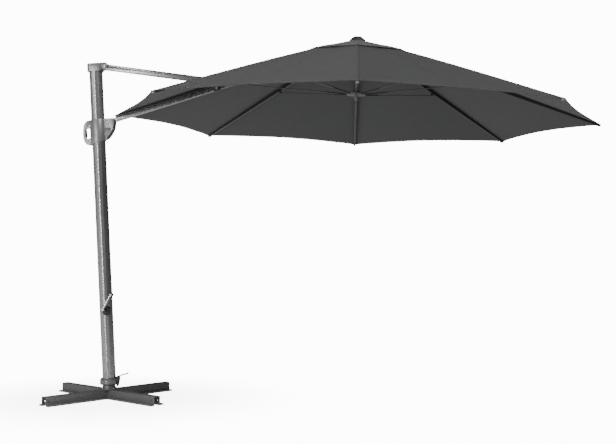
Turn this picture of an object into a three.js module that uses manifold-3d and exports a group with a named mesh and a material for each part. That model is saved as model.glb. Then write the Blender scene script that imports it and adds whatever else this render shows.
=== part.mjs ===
// Cantilever parasol: eight-sided canopy carried by a sliding arm and a twin upper strut on a leaning mast.
// Millimetres. Origin on the ground at the middle of the cross base, +X along the arm, +Z up.
import * as THREE from "three";
import { mergeVertices } from "three/addons/utils/BufferGeometryUtils.js";
import Module from "manifold-3d";

const wasm = await Module();
wasm.setup();

// ---------- driving dimensions ----------
const GAP = 0.3;
const RAD = Math.PI / 180;

// cross base
const LEG_LENGTH = 545;
const LEG_ANGLE = 50;
const BAR_HEIGHT = 65;
const BAR_WIDTH = 54;
const BAR_FLANGE = 30;
const BAR_WALL = 5;
const FLANGE_THICKNESS = 12;
const POST_FLANGE_THICKNESS = 6;
const BOLT_RADIUS = 4;

// mast
const MAST_LEAN = 2.8;
const MAST_FOOT_X = 4;
const MAST_FOOT_Z = 100;
const MAST_RADIUS = 48.5;
const MAST_WALL = 2.5;
const MAST_FLUTES = 12;
const FLUTE_DEPTH = 0.9;
const MAST_START = 49;
const COLLAR_RADIUS = MAST_RADIUS + 15.5;
const NECK_RADIUS = MAST_RADIUS - 3;
const SPIGOT_RADIUS = MAST_RADIUS - 16;
const BOLT_CIRCLE = NECK_RADIUS + 11;
const POST_FLANGE_RADIUS = BOLT_CIRCLE + 11;

// linkage: arm and strut are equally long between their pins
const PIVOT_OFFSET = MAST_RADIUS + 27.5;
const TOP_PIVOT_HEIGHT = 2305;
const MAST_END = TOP_PIVOT_HEIGHT - 34;
const LINK_LENGTH = 830;
const LINK_ANGLE = 14.2;
const ARM_SLOPE = MAST_LEAN + LINK_ANGLE;
const SLIDER_PIVOT_HEIGHT = TOP_PIVOT_HEIGHT - 2 * LINK_LENGTH * Math.sin(LINK_ANGLE * RAD);

// arm and strut
const ARM_DEPTH = 32;
const ARM_WIDTH = 28;
const ARM_WALL = 2;
const STRUT_DEPTH = 36;
const STRUT_THICKNESS = 10;
const STRUT_INNER_Y = ARM_WIDTH / 2 + 13.2;
const STRUT_RISE = 44;
const STRUT_SETBACK = 25;
const PIN_RADIUS = 6;

// slider on the mast
const SLEEVE_RADIUS = MAST_RADIUS + 6;
const SLEEVE_UP = 22;
const SLEEVE_DOWN_LEFT = 166;
const SLEEVE_DOWN_RIGHT = 130;
const CHEEK_INNER_Y = ARM_WIDTH / 2 + 0.6;
const CHEEK_OUTER_Y = CHEEK_INNER_Y + 7.4;
const CHEEK_ARC_RADIUS = 165;
const CHEEK_ARC_D = PIVOT_OFFSET - 112;
const CHEEK_ARC_S = 5;
const HANDLE_HALF_WIDTH = 15;

// canopy
const CANOPY_RADIUS = 1750;
const RIB_SLOPE = 18.4;
const CANOPY_RISE = CANOPY_RADIUS * Math.tan(RIB_SLOPE * RAD);
const CANOPY_TILT = RIB_SLOPE - ARM_SLOPE;
const SIDES = 8;
const HALF_SIDE = 180 / SIDES;
const HEM_RADIUS = CANOPY_RADIUS * Math.cos(HALF_SIDE * RAD);
const HEM_CONCAVITY = 45;
const FABRIC_SAG = 5;
const FABRIC_LIFT = 2;
const FABRIC_THICKNESS = 1.1;
const FABRIC_INNER_RADIUS = 26;
const VENT_RADIUS = 425;
const VENT_JOIN_RADIUS = 345;
const VENT_LIFT = 6;
const ARM_TO_FIRST_CORNER = 60;

// ribs, stretchers, hub
const RIB_WIDTH = 18;
const RIB_DEPTH = 14;
const RIB_WALL = 1.2;
const HINGE_RADIUS = 75;
const TRUNNION_RADIUS = 3;
const STRETCHER_ALONG = 810;
const STRETCHER_DROP = 16;
const ARM_STRETCHER_DROP = 50;
const STRETCHER_WIDTH = 14;
const STRETCHER_THICKNESS = 4.5;
const TONGUE_LENGTH = 165;
const AXLE_HALF_LENGTH = 5.2;
const FOLDED_SLOPE = 86;
const RUNNER_HINGE_RADIUS = 60;
const RUNNER_HINGE_HEIGHT = 190;
const RUNNER_RADIUS = 70;
const TUBE_RADIUS = 12;
const CROWN_RADIUS = 88;
const CAP_RADIUS = 52;

// crank
const CRANK_HEIGHT = 543;
const CRANK_LENGTH = 121;
const CRANK_ANGLE = 59;

// ---------- frames ----------
const rotY = (deg) => new THREE.Matrix4().makeRotationY(deg * RAD);
const rotZ = (deg) => new THREE.Matrix4().makeRotationZ(deg * RAD);
const move = (x, y, z) => new THREE.Matrix4().makeTranslation(x, y, z);
const chain = (...list) => list.reduce((a, b) => a.clone().multiply(b));

const ground = new THREE.Matrix4();
const baseFrame = rotZ(LEG_ANGLE);
const mastFrame = chain(move(MAST_FOOT_X, 0, MAST_FOOT_Z), rotY(-MAST_LEAN));
const armFrame = chain(mastFrame, move(PIVOT_OFFSET, 0, SLIDER_PIVOT_HEIGHT), rotY(-LINK_ANGLE));
const strutFrame = chain(mastFrame, move(PIVOT_OFFSET, 0, TOP_PIVOT_HEIGHT), rotY(LINK_ANGLE));

// The fabric's underside runs this far above the arm's centre line, and the rib's centre this far.
const FABRIC_ABOVE_ARM = ARM_DEPTH / 2 + GAP + RIB_DEPTH + FABRIC_LIFT;
const RIB_ABOVE_ARM = ARM_DEPTH / 2 + GAP + RIB_DEPTH / 2;
const RIB_BELOW_FABRIC = RIB_DEPTH / 2 + FABRIC_LIFT;
const HINGE_HEIGHT =
  CANOPY_RISE - HINGE_RADIUS * Math.tan(RIB_SLOPE * RAD) - (RIB_DEPTH / 2) / Math.cos(RIB_SLOPE * RAD);
const RIB_LENGTH =
  (CANOPY_RADIUS - HINGE_RADIUS - RIB_BELOW_FABRIC * Math.sin(RIB_SLOPE * RAD)) / Math.cos(RIB_SLOPE * RAD);
const ARM_HINGE = ARM_TO_FIRST_CORNER + RIB_LENGTH;

// The hub frame is set so that the rib over the arm lies along it.
const hingeInWorld = new THREE.Vector3(ARM_HINGE, 0, RIB_ABOVE_ARM).applyMatrix4(armFrame);
const hingeInHub = new THREE.Vector3(-HINGE_RADIUS, 0, HINGE_HEIGHT).applyMatrix4(rotY(CANOPY_TILT));
const hubFrame = chain(
  move(hingeInWorld.x - hingeInHub.x, 0, hingeInWorld.z - hingeInHub.z),
  rotY(CANOPY_TILT),
);
const sideFrame = (i) => chain(hubFrame, rotZ((360 / SIDES) * i));
const ribFrame = (i) => chain(sideFrame(i), move(HINGE_RADIUS, 0, HINGE_HEIGHT), rotY(RIB_SLOPE));

// ---------- stretcher geometry ----------
// A stretcher's outer hinge, as a radius and a height in the hub frame, with its rib at a slope.
function outerHinge(drop, along, slopeDegrees) {
  const slope = slopeDegrees * RAD;
  return {
    r: HINGE_RADIUS + along * Math.cos(slope) - drop * Math.sin(slope),
    h: HINGE_HEIGHT - along * Math.sin(slope) - drop * Math.cos(slope),
  };
}
function stretcherEnds(drop, along) {
  const { r, h } = outerHinge(drop, along, RIB_SLOPE);
  const dr = r - RUNNER_HINGE_RADIUS;
  const dh = h - RUNNER_HINGE_HEIGHT;
  return { outerR: r, outerH: h, length: Math.hypot(dr, dh), rise: Math.atan2(dh, dr) / RAD };
}
// The height of the runner's hinges when the canopy is folded.
function foldedRunner(drop, along) {
  const { length } = stretcherEnds(drop, along);
  const { r, h } = outerHinge(drop, along, FOLDED_SLOPE);
  return h - Math.sqrt(length ** 2 - (r - RUNNER_HINGE_RADIUS) ** 2);
}
// Where a stretcher with another drop must hinge so that it meets the runner open and folded.
function matchingAlong(drop) {
  const target = foldedRunner(STRETCHER_DROP, STRETCHER_ALONG);
  let low = 0.85 * STRETCHER_ALONG;
  let high = 1.15 * STRETCHER_ALONG;
  for (let k = 0; k < 50; k++) {
    const middle = (low + high) / 2;
    if (foldedRunner(drop, middle) < target) high = middle;
    else low = middle;
  }
  return (low + high) / 2;
}

// ---------- solids ----------
// A three.js geometry as a manifold-3d solid.
function solid(geometry) {
  const bare = geometry.clone();
  bare.deleteAttribute("normal");
  bare.deleteAttribute("uv");
  const merged = mergeVertices(bare, 1e-4);
  return new wasm.Manifold(
    new wasm.Mesh({
      numProp: 3,
      vertProperties: new Float32Array(merged.attributes.position.array),
      triVerts: new Uint32Array(merged.index.array),
    }),
  );
}

function geometryOf(body) {
  const mesh = body.getMesh();
  const geometry = new THREE.BufferGeometry();
  geometry.setAttribute("position", new THREE.BufferAttribute(new Float32Array(mesh.vertProperties), 3));
  geometry.setIndex(new THREE.BufferAttribute(new Uint32Array(mesh.triVerts), 1));
  geometry.computeVertexNormals();
  return geometry;
}

function wound(points, clockwise) {
  const path = tidy(points).map(([a, b]) => new THREE.Vector2(a, b));
  return THREE.ShapeUtils.isClockWise(path) === clockwise ? path : path.reverse();
}

function extruded(outline, depth, holes = []) {
  const shape = new THREE.Shape(wound(outline, false));
  shape.holes = holes.map((hole) => new THREE.Path(wound(hole, true)));
  return new THREE.ExtrudeGeometry(shape, { depth, bevelEnabled: false, steps: 1 });
}

const BASIS_X = new THREE.Matrix4().makeBasis(
  new THREE.Vector3(0, 1, 0),
  new THREE.Vector3(0, 0, 1),
  new THREE.Vector3(1, 0, 0),
);
const BASIS_Y = new THREE.Matrix4().makeBasis(
  new THREE.Vector3(1, 0, 0),
  new THREE.Vector3(0, 0, 1),
  new THREE.Vector3(0, -1, 0),
);

// Outlines are [y, z] for alongX, [x, z] for alongY and [x, y] for alongZ.
const alongX = (outline, x0, x1, holes) =>
  solid(extruded(outline, x1 - x0, holes).applyMatrix4(chain(move(x0, 0, 0), BASIS_X)));
const alongY = (outline, y0, y1, holes) =>
  solid(extruded(outline, y1 - y0, holes).applyMatrix4(chain(move(0, y1, 0), BASIS_Y)));
const alongZ = (outline, z0, z1, holes) =>
  solid(extruded(outline, z1 - z0, holes).applyMatrix4(move(0, 0, z0)));

const rectangle = (a0, a1, b0, b1) => [
  [a0, b0],
  [a1, b0],
  [a1, b1],
  [a0, b1],
];

const box = (x0, x1, y0, y1, z0, z1) => alongX(rectangle(y0, y1, z0, z1), x0, x1);

function roundedRectangle(halfA, halfB, radius, steps = 3, a = 0, b = 0) {
  const points = [];
  for (let corner = 0; corner < 4; corner++) {
    const ca = (corner === 0 || corner === 3 ? 1 : -1) * (halfA - radius);
    const cb = (corner < 2 ? 1 : -1) * (halfB - radius);
    for (let k = 0; k <= steps; k++) {
      const angle = (corner + k / steps) * 90 * RAD;
      points.push([a + ca + radius * Math.cos(angle), b + cb + radius * Math.sin(angle)]);
    }
  }
  return points;
}

// Outlines are rounded so that equal points stay equal.
const tidy = (points) => points.map(([a, b]) => [Math.round(a * 1e3) / 1e3, Math.round(b * 1e3) / 1e3]);

function circle(radius, sides, a = 0, b = 0) {
  const points = [];
  for (let k = 0; k < sides; k++) {
    const angle = (2 * Math.PI * k) / sides;
    points.push([a + radius * Math.cos(angle), b + radius * Math.sin(angle)]);
  }
  return points;
}

// The outline round two circles of the same radius.
function capsule([a0, b0], [a1, b1], radius, steps = 8) {
  const heading = Math.atan2(b1 - b0, a1 - a0);
  const points = [];
  for (let k = 0; k <= steps; k++) {
    const angle = heading - Math.PI / 2 + (Math.PI * k) / steps;
    points.push([a1 + radius * Math.cos(angle), b1 + radius * Math.sin(angle)]);
  }
  for (let k = 0; k <= steps; k++) {
    const angle = heading + Math.PI / 2 + (Math.PI * k) / steps;
    points.push([a0 + radius * Math.cos(angle), b0 + radius * Math.sin(angle)]);
  }
  return points;
}

const rodZ = (radius, z0, z1, sides = 24, x = 0, y = 0) => alongZ(circle(radius, sides, x, y), z0, z1);
const rodY = (radius, y0, y1, x = 0, z = 0, sides = 20) => alongY(circle(radius, sides, x, z), y0, y1);

// A profile of [radius, height] that closes on the axis, turned about Z.
function turned(profile, sides = 32) {
  const points = profile.map(([r, z]) => new THREE.Vector2(r, z));
  const lathe = new THREE.LatheGeometry(points, sides);
  return solid(lathe.applyMatrix4(new THREE.Matrix4().makeRotationX(Math.PI / 2)));
}

// The same about Y, used for pins: the profile's height becomes -Y.
function turnedY(profile, x = 0, z = 0, sides = 20) {
  const points = profile.map(([r, y]) => new THREE.Vector2(r, y));
  const lathe = new THREE.LatheGeometry(points, sides);
  return solid(lathe.applyMatrix4(move(x, 0, z)));
}

const joined = (...bodies) => bodies.reduce((a, b) => a.add(b));
const cut = (body, ...tools) => tools.reduce((a, b) => a.subtract(b), body);
const placed = (body, frame) => body.transform(frame.elements);

// ---------- materials ----------
const material = (color, roughness, metalness) =>
  new THREE.MeshStandardMaterial({ color, roughness, metalness });
const LOOKS = {
  silver: [0x9b9d9f, 0.38, 0.85],
  silverPaint: [0x97999b, 0.5, 0.4],
  steelPaint: [0x4d4e50, 0.5, 0.4],
  zinc: [0xb4b6b8, 0.35, 0.9],
  black: [0x17181a, 0.5, 0.0],
  ribGrey: [0x3a3b3d, 0.45, 0.5],
  fabric: [0x4b4d50, 0.9, 0.0],
};

const root = new THREE.Group();
root.name = "cantilever_parasol";

function add(name, look, body, frame = ground) {
  const mesh = new THREE.Mesh(geometryOf(placed(body, frame)), material(...LOOKS[look]));
  mesh.name = name;
  root.add(mesh);
}

// ---------- cross base ----------
function hatOutline() {
  const web = BAR_WIDTH / 2;
  const inner = web - BAR_WALL;
  const edge = web + BAR_FLANGE;
  return [
    [edge, 0],
    [edge, FLANGE_THICKNESS],
    [web, FLANGE_THICKNESS],
    [web, BAR_HEIGHT],
    [-web, BAR_HEIGHT],
    [-web, FLANGE_THICKNESS],
    [-edge, FLANGE_THICKNESS],
    [-edge, 0],
    [-inner, 0],
    [-inner, BAR_HEIGHT - BAR_WALL],
    [inner, BAR_HEIGHT - BAR_WALL],
    [inner, 0],
  ];
}

const boltHole = (x) => rodZ(BOLT_RADIUS + GAP, BAR_HEIGHT - 8, BAR_HEIGHT + 20, 16, x, 0);
const endHole = (x) => rodY(4, -BAR_WIDTH, BAR_WIDTH, x, BAR_HEIGHT / 2, 12);

const fullBar = cut(
  alongX(hatOutline(), -LEG_LENGTH, LEG_LENGTH),
  boltHole(BOLT_CIRCLE),
  boltHole(-BOLT_CIRCLE),
  endHole(26 - LEG_LENGTH),
);
add("base_bar", "steelPaint", fullBar, baseFrame);

const barEnvelope = joined(
  box(-200, 200, -BAR_WIDTH / 2 - GAP, BAR_WIDTH / 2 + GAP, -1, BAR_HEIGHT + 1),
  box(-200, 200, -BAR_WIDTH / 2 - BAR_FLANGE - GAP, BAR_WIDTH / 2 + BAR_FLANGE + GAP, -1, FLANGE_THICKNESS + GAP),
);
for (const [name, turn, screwHoles] of [
  ["base_leg_near", -90, [endHole(LEG_LENGTH - 26)]],
  ["base_leg_far", 90, []],
]) {
  const leg = cut(
    placed(alongX(hatOutline(), 10, LEG_LENGTH), rotZ(turn)),
    ...[boltHole(BOLT_CIRCLE), ...screwHoles].map((hole) => placed(hole, rotZ(turn))),
    barEnvelope,
  );
  add(name, "steelPaint", leg, baseFrame);
}
const channelHalf = BAR_WIDTH / 2 - BAR_WALL - GAP;
add("base_plate", "steelPaint", box(-90, 90, -channelHalf, channelHalf, 0, 4), baseFrame);

const postBottom = BAR_HEIGHT + GAP;
const postTop = postBottom + POST_FLANGE_THICKNESS;
const neckTop = 98;
const spigotTop = 170;
const post = cut(
  turned([
    [0, postBottom],
    [POST_FLANGE_RADIUS, postBottom],
    [POST_FLANGE_RADIUS, postTop],
    [NECK_RADIUS, postTop],
    [NECK_RADIUS, neckTop],
    [SPIGOT_RADIUS, neckTop],
    [SPIGOT_RADIUS, spigotTop],
    [0, spigotTop],
  ]),
  ...[0, 90, 180, 270].map((turn) => placed(boltHole(BOLT_CIRCLE), rotZ(turn))),
);
add("base_post", "steelPaint", post, baseFrame);

for (let i = 0; i < 4; i++) {
  const bolt = turned(
    [
      [0, 45],
      [BOLT_RADIUS, 45],
      [BOLT_RADIUS, postTop + GAP],
      [7, postTop + GAP],
      [7, postTop + 4.5],
      [5, postTop + 6.5],
      [0, postTop + 6.5],
    ],
    16,
  );
  add(`base_bolt_${i + 1}`, "zinc", placed(bolt, move(BOLT_CIRCLE, 0, 0)), chain(baseFrame, rotZ(90 * i)));
}

// ---------- swivel, mast and head ----------
const plugRadius = MAST_RADIUS - FLUTE_DEPTH - MAST_WALL - GAP;
const collarTop = MAST_FOOT_Z + MAST_START;
const collarBody = cut(
  turned([
    [0, neckTop + GAP],
    [COLLAR_RADIUS - 6, neckTop + GAP],
    [COLLAR_RADIUS, neckTop + 7],
    [COLLAR_RADIUS, collarTop - 14],
    [COLLAR_RADIUS - 8, collarTop - 5],
    [COLLAR_RADIUS - 8, collarTop + 10],
    [0, collarTop + 10],
  ], 48),
  placed(rodZ(COLLAR_RADIUS + 20, MAST_START - GAP, 140, 24), mastFrame),
);
const collar = cut(
  joined(collarBody, placed(rodZ(plugRadius, 20, 112, 32), mastFrame)),
  rodZ(SPIGOT_RADIUS + GAP, 40, spigotTop + GAP, 32),
  box(-80, 80, -80, 80, 60, neckTop + GAP),
);
add("swivel_collar", "silverPaint", collar);

function flutedOutline() {
  const points = [];
  const perFlute = 4;
  const count = MAST_FLUTES * perFlute;
  for (let k = 0; k < count; k++) {
    const angle = (2 * Math.PI * k) / count;
    const wave = Math.cos((2 * Math.PI * k) / perFlute);
    const radius = MAST_RADIUS - FLUTE_DEPTH * (0.5 - 0.5 * wave);
    points.push([radius * Math.cos(angle), radius * Math.sin(angle)]);
  }
  return points;
}
const mastInner = circle(MAST_RADIUS - FLUTE_DEPTH - MAST_WALL, 32);
add("mast_tube", "silver", alongZ(flutedOutline(), MAST_START, MAST_END, [mastInner]), mastFrame);

const headBottom = MAST_END + GAP;
const headTop = TOP_PIVOT_HEIGHT + 23;
const strutOuterY = STRUT_INNER_Y + STRUT_THICKNESS;
const headSlotInner = STRUT_INNER_Y - 0.4;
const headSlotOuter = strutOuterY + 0.4;
const headOuterY = headSlotOuter + 7.6;
const headBlock = alongZ(roundedRectangle(MAST_RADIUS + 7, headOuterY + 3, 24, 5, -1, 0), headBottom, headTop);
const headNose = joined(
  alongY(capsule([20, TOP_PIVOT_HEIGHT], [PIVOT_OFFSET, TOP_PIVOT_HEIGHT], 23), -headOuterY, headOuterY),
);
const headSlot = (side) => {
  const [y0, y1] = side > 0 ? [headSlotInner, headSlotOuter] : [-headSlotOuter, -headSlotInner];
  return joined(
    alongY(circle(26, 24, PIVOT_OFFSET, TOP_PIVOT_HEIGHT), y0, y1),
    box(PIVOT_OFFSET, PIVOT_OFFSET + 60, y0, y1, headBottom - 30, headTop + 30),
    alongY(
      [
        [PIVOT_OFFSET - 26, TOP_PIVOT_HEIGHT],
        [PIVOT_OFFSET + 26, TOP_PIVOT_HEIGHT],
        [PIVOT_OFFSET + 40, headBottom - 30],
        [PIVOT_OFFSET - 24, headBottom - 30],
      ],
      y0,
      y1,
    ),
  );
};
const mastHead = cut(
  joined(headBlock, headNose, rodZ(plugRadius, MAST_END - 40, headBottom + 2, 32)),
  headSlot(1),
  headSlot(-1),
  rodY(PIN_RADIUS + GAP, -80, 80, PIVOT_OFFSET, TOP_PIVOT_HEIGHT),
);
add("mast_head", "silverPaint", mastHead, mastFrame);

const rivet = (halfGrip, x, z, head = 10) =>
  turnedY(
    [
      [0, -halfGrip - 4],
      [head - 2, -halfGrip - 4],
      [head, -halfGrip - 2],
      [head, -halfGrip],
      [PIN_RADIUS, -halfGrip],
      [PIN_RADIUS, halfGrip],
      [head, halfGrip],
      [head, halfGrip + 2],
      [head - 2, halfGrip + 4],
      [0, halfGrip + 4],
    ],
    x,
    z,
  );
add("strut_pin_top", "zinc", rivet(headOuterY + GAP, PIVOT_OFFSET, TOP_PIVOT_HEIGHT), mastFrame);

// ---------- foot pedal ----------
const PEDAL_X = COLLAR_RADIUS + 6;
const PEDAL_Z = 152;
const pedalHousing = cut(
  alongY(
    [
      [PEDAL_X - 28, 86],
      [PEDAL_X - 3, 86],
      [PEDAL_X + 8, 132],
      [PEDAL_X + 8, 158],
      [PEDAL_X + 3, 161],
      [PEDAL_X - 28, 161],
    ],
    -24,
    24,
  ),
  alongY(
    [
      [COLLAR_RADIUS + 1.5, 122],
      [COLLAR_RADIUS + 30, 122],
      [COLLAR_RADIUS + 30, 175],
      [COLLAR_RADIUS + 1.5, 175],
    ],
    -11,
    11,
  ),
  rodZ(COLLAR_RADIUS + GAP, 60, 200, 48),
  rodY(TRUNNION_RADIUS + GAP, -15.4, 15.4, PEDAL_X, PEDAL_Z, 16),
);
add("pedal_housing", "black", pedalHousing);

const pedalTip = [PEDAL_X + 68, 178];
const pedal = joined(
  alongY(capsule([PEDAL_X, PEDAL_Z], [PEDAL_X + 14, 163.5], 4.2, 6), -10.6, 10.6),
  alongY(capsule([PEDAL_X + 14, 163.5], pedalTip, 4.5, 5), -21, 21),
  rodY(TRUNNION_RADIUS, -15, 15, PEDAL_X, PEDAL_Z, 16),
);
add("foot_pedal", "zinc", pedal);

// ---------- crank ----------
const crankFrame = chain(mastFrame, move(0, 0, CRANK_HEIGHT));
const crankFace = -MAST_RADIUS - 26;
const crankHousing = cut(
  alongY(
    [
      [-13, -14],
      [-6, -34],
      [20, -46],
      [36, -34],
      [38, 10],
      [24, 22],
      [-2, 16],
      [-13, 8],
    ],
    crankFace,
    -20,
  ),
  rodZ(MAST_RADIUS + GAP, -100, 100, 56),
  rodY(8 + GAP, crankFace - 8, crankFace + 20, 0, 0, 20),
);
add("crank_housing", "black", crankHousing, crankFrame);
add("crank_spindle", "zinc", rodY(8, crankFace - 31.7, crankFace + 19.5, 0, 0, 20), crankFrame);
const crankEnd = [
  CRANK_LENGTH * Math.cos(CRANK_ANGLE * RAD),
  CRANK_LENGTH * Math.sin(CRANK_ANGLE * RAD),
];
const crankArm = joined(
  alongY(capsule([0, 0], crankEnd, 6.5, 6), crankFace - 40, crankFace - 32),
  rodY(11, crankFace - 40, crankFace - 32, 0, 0, 20),
  rodY(10, crankFace - 40, crankFace - 32, ...crankEnd),
);
add("crank_arm", "silver", crankArm, crankFrame);
add(
  "crank_knob",
  "black",
  turnedY(
    [
      [0, crankFace - 31.7],
      [12, crankFace - 31.7],
      [14, crankFace - 26],
      [15.5, crankFace - 12],
      [13, crankFace],
      [9, crankFace + 3],
      [0, crankFace + 3],
    ],
    ...crankEnd,
  ),
  crankFrame,
);

// ---------- slider ----------
const sliderFrame = chain(mastFrame, move(0, 0, SLIDER_PIVOT_HEIGHT));
const boreRadius = MAST_RADIUS + 0.6;
const sleeve = cut(
  rodZ(SLEEVE_RADIUS, -SLEEVE_DOWN_LEFT, SLEEVE_UP, 48),
  alongY(
    [
      [-SLEEVE_RADIUS - 5, -SLEEVE_DOWN_LEFT - 1],
      [SLEEVE_RADIUS + 5, -SLEEVE_DOWN_RIGHT],
      [SLEEVE_RADIUS + 5, -SLEEVE_DOWN_LEFT - 40],
      [-SLEEVE_RADIUS - 5, -SLEEVE_DOWN_LEFT - 40],
    ],
    -90,
    90,
  ),
);
function arc(radius, from, to, steps) {
  const points = [];
  for (let k = 0; k <= steps; k++) {
    const angle = (from + ((to - from) * k) / steps) * RAD;
    points.push([CHEEK_ARC_D + radius * Math.cos(angle), CHEEK_ARC_S + radius * Math.sin(angle)]);
  }
  return points;
}
const cheekOutline = [
  [PIVOT_OFFSET - 42, -120],
  ...arc(CHEEK_ARC_RADIUS, -55, 1, 12),
  [PIVOT_OFFSET + 40, 24],
  [PIVOT_OFFSET + 34, 26.5],
  [PIVOT_OFFSET - 42, 26.5],
];
const cheekPair = cut(
  alongY(cheekOutline, -CHEEK_OUTER_Y, CHEEK_OUTER_Y),
  box(SLEEVE_RADIUS + 1, 200, -CHEEK_INNER_Y, CHEEK_INNER_Y, -200, 200),
  ...[-1, 1].map((side) =>
    alongY(
      roundedRectangle(21, 12, 6, 3, PIVOT_OFFSET - 2, -52),
      side > 0 ? CHEEK_OUTER_Y - 3 : -CHEEK_OUTER_Y - 1,
      side > 0 ? CHEEK_OUTER_Y + 1 : 3 - CHEEK_OUTER_Y,
    ),
  ),
);
const sliderBody = cut(
  joined(sleeve, cheekPair),
  rodZ(boreRadius, -300, 100, 48),
  box(SLEEVE_RADIUS - 3.8, SLEEVE_RADIUS + 2, -CHEEK_INNER_Y, CHEEK_INNER_Y, -32, 60),
  rodY(PIN_RADIUS + GAP, -60, 60, PIVOT_OFFSET, 0),
);
add("slider_body", "silverPaint", sliderBody, sliderFrame);

const rimOutline = [...arc(CHEEK_ARC_RADIUS + 1.2, -52, -9, 9), ...arc(CHEEK_ARC_RADIUS - 4.5, -9, -52, 9)];
const rimHalf = CHEEK_INNER_Y - GAP;
add("slider_rim", "black", alongY(rimOutline, -rimHalf, rimHalf), sliderFrame);

const fingerGap = roundedRectangle(16.5, 38, 12, 4, -SLEEVE_RADIUS - 20.5, -77);
const handleOutline = [
  [22, 19],
  [22, -158],
  [-10, -163],
  [-32, -158],
  [-47, -140],
  [-55, -110],
  [-57, -77],
  [-55, -42],
  [-48, -12],
  [-36, 8],
  [-18, 18],
].map(([out, up]) => [out - SLEEVE_RADIUS, up]);
const triggerX = -SLEEVE_RADIUS - 40;
const triggerSlot = box(triggerX - 5, triggerX + 12, -9 - GAP, 9 + GAP, -108, -46);
const handle = cut(
  alongY(handleOutline, -HANDLE_HALF_WIDTH, HANDLE_HALF_WIDTH, [fingerGap]),
  rodZ(SLEEVE_RADIUS + GAP, -300, 100, 48),
  triggerSlot,
);
add("slider_handle", "silverPaint", handle, sliderFrame);
add("slider_trigger", "black", box(triggerX, triggerX + 7, -9, 9, -108 + GAP, -46 - GAP), sliderFrame);
add("slider_pin", "zinc", rivet(CHEEK_OUTER_Y + GAP, PIVOT_OFFSET, 0, 9), sliderFrame);

// ---------- arm ----------
const armHalfW = ARM_WIDTH / 2;
const armHalfD = ARM_DEPTH / 2;
const armEnd = ARM_HINGE - 45;
const armStart = 30;
const hole = roundedRectangle(armHalfW - ARM_WALL, armHalfD - ARM_WALL, 2, 2);
const armStretcherAlong = matchingAlong(ARM_STRETCHER_DROP);
const lugX = ARM_HINGE - armStretcherAlong;
const lugZ = RIB_ABOVE_ARM - ARM_STRETCHER_DROP;
const lug = (side) => {
  const [y0, y1] = side > 0 ? [7.7, 10.7] : [-10.7, -7.7];
  return joined(
    alongY(circle(8, 16, lugX, lugZ), y0, y1),
    box(lugX - 8, lugX + 8, y0, y1, lugZ, -armHalfD + 1),
  );
};
const armTube = cut(
  joined(
    alongX(roundedRectangle(armHalfW, armHalfD, 4, 3), armStart, armEnd, [hole]),
    lug(1),
    lug(-1),
  ),
  rodY(PIN_RADIUS + GAP, -40, 40, LINK_LENGTH, 0),
  rodY(TRUNNION_RADIUS + GAP, -12, 12, lugX, lugZ, 16),
);
add("arm_tube", "silver", armTube, armFrame);

const plugHalfW = armHalfW - ARM_WALL - GAP;
const plugHalfD = armHalfD - ARM_WALL - GAP;
const knuckle = cut(
  joined(
    rodY(14, -armHalfW, armHalfW, 0, 0, 24),
    box(0, armStart - GAP, -armHalfW, armHalfW, -12, 12),
    alongX(roundedRectangle(plugHalfW, plugHalfD, 2, 2), armStart - GAP - 2, armStart + 50),
  ),
  rodY(PIN_RADIUS + GAP, -40, 40),
);
add("arm_knuckle", "silverPaint", knuckle, armFrame);

const crownHalfNotch = RIB_WIDTH / 2 + 0.5;
const headX = ARM_HINGE;
const headZ = RIB_ABOVE_ARM;
const armHead = cut(
  joined(
    alongY(
      [
        [headX - 26, headZ - 7],
        [headX - 26, headZ + 7],
        ...[90, 60, 30, 0, -30, -60, -90].map((a) => [
          headX + 7 * Math.cos(a * RAD),
          headZ + 7 * Math.sin(a * RAD),
        ]),
        [headX - 11, headZ - 7],
        [headX - 19, headZ - 9.5],
        [headX - 22, headZ - 20],
        [headX - 26, headZ - 30],
      ],
      -crownHalfNotch + 0.4,
      crownHalfNotch - 0.4,
    ),
    box(armEnd + GAP, headX - 24, -armHalfW, armHalfW, -armHalfD, headZ + RIB_DEPTH / 2 - 4),
    alongX(roundedRectangle(plugHalfW, plugHalfD, 2, 2), armEnd - 40, armEnd + 2),
  ),
  rodY(4 + GAP, -40, 40, headX, headZ, 16),
);
add("arm_head", "black", armHead, armFrame);

const saddleInner = armHalfW + GAP;
const saddleBase = -armHalfD - GAP;
const bossEnd = STRUT_INNER_Y - 0.4;
const saddle = cut(
  joined(
    alongX(rectangle(-saddleInner - 3, saddleInner + 3, saddleBase - 3, 12), LINK_LENGTH - 24, LINK_LENGTH + 24),
    rodY(14, -bossEnd, bossEnd, LINK_LENGTH, 0, 24),
  ),
  box(0, 2 * LINK_LENGTH, -saddleInner, saddleInner, saddleBase, 60),
  rodY(PIN_RADIUS + GAP, -60, 60, LINK_LENGTH, 0),
);
add("arm_saddle", "black", saddle, armFrame);

// ---------- upper strut ----------
const strutEnd = [LINK_LENGTH - STRUT_SETBACK, STRUT_RISE];
const strutStart = [2, -6];
for (const [name, side] of [
  ["strut_near", -1],
  ["strut_far", 1],
]) {
  const [y0, y1] = side > 0 ? [STRUT_INNER_Y, strutOuterY] : [-strutOuterY, -STRUT_INNER_Y];
  const bar = cut(
    joined(
      alongY(capsule(strutStart, strutEnd, STRUT_DEPTH / 2, 8), y0, y1),
      alongY(capsule(strutEnd, [LINK_LENGTH, 0], 14, 8), y0, y1),
    ),
    rodY(PIN_RADIUS + GAP, -60, 60, 0, 0),
    rodY(PIN_RADIUS + GAP, -60, 60, LINK_LENGTH, 0),
  );
  add(name, "silver", bar, strutFrame);
}
add("strut_pin_low", "zinc", rivet(strutOuterY + GAP, LINK_LENGTH, 0, 9), strutFrame);

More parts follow.
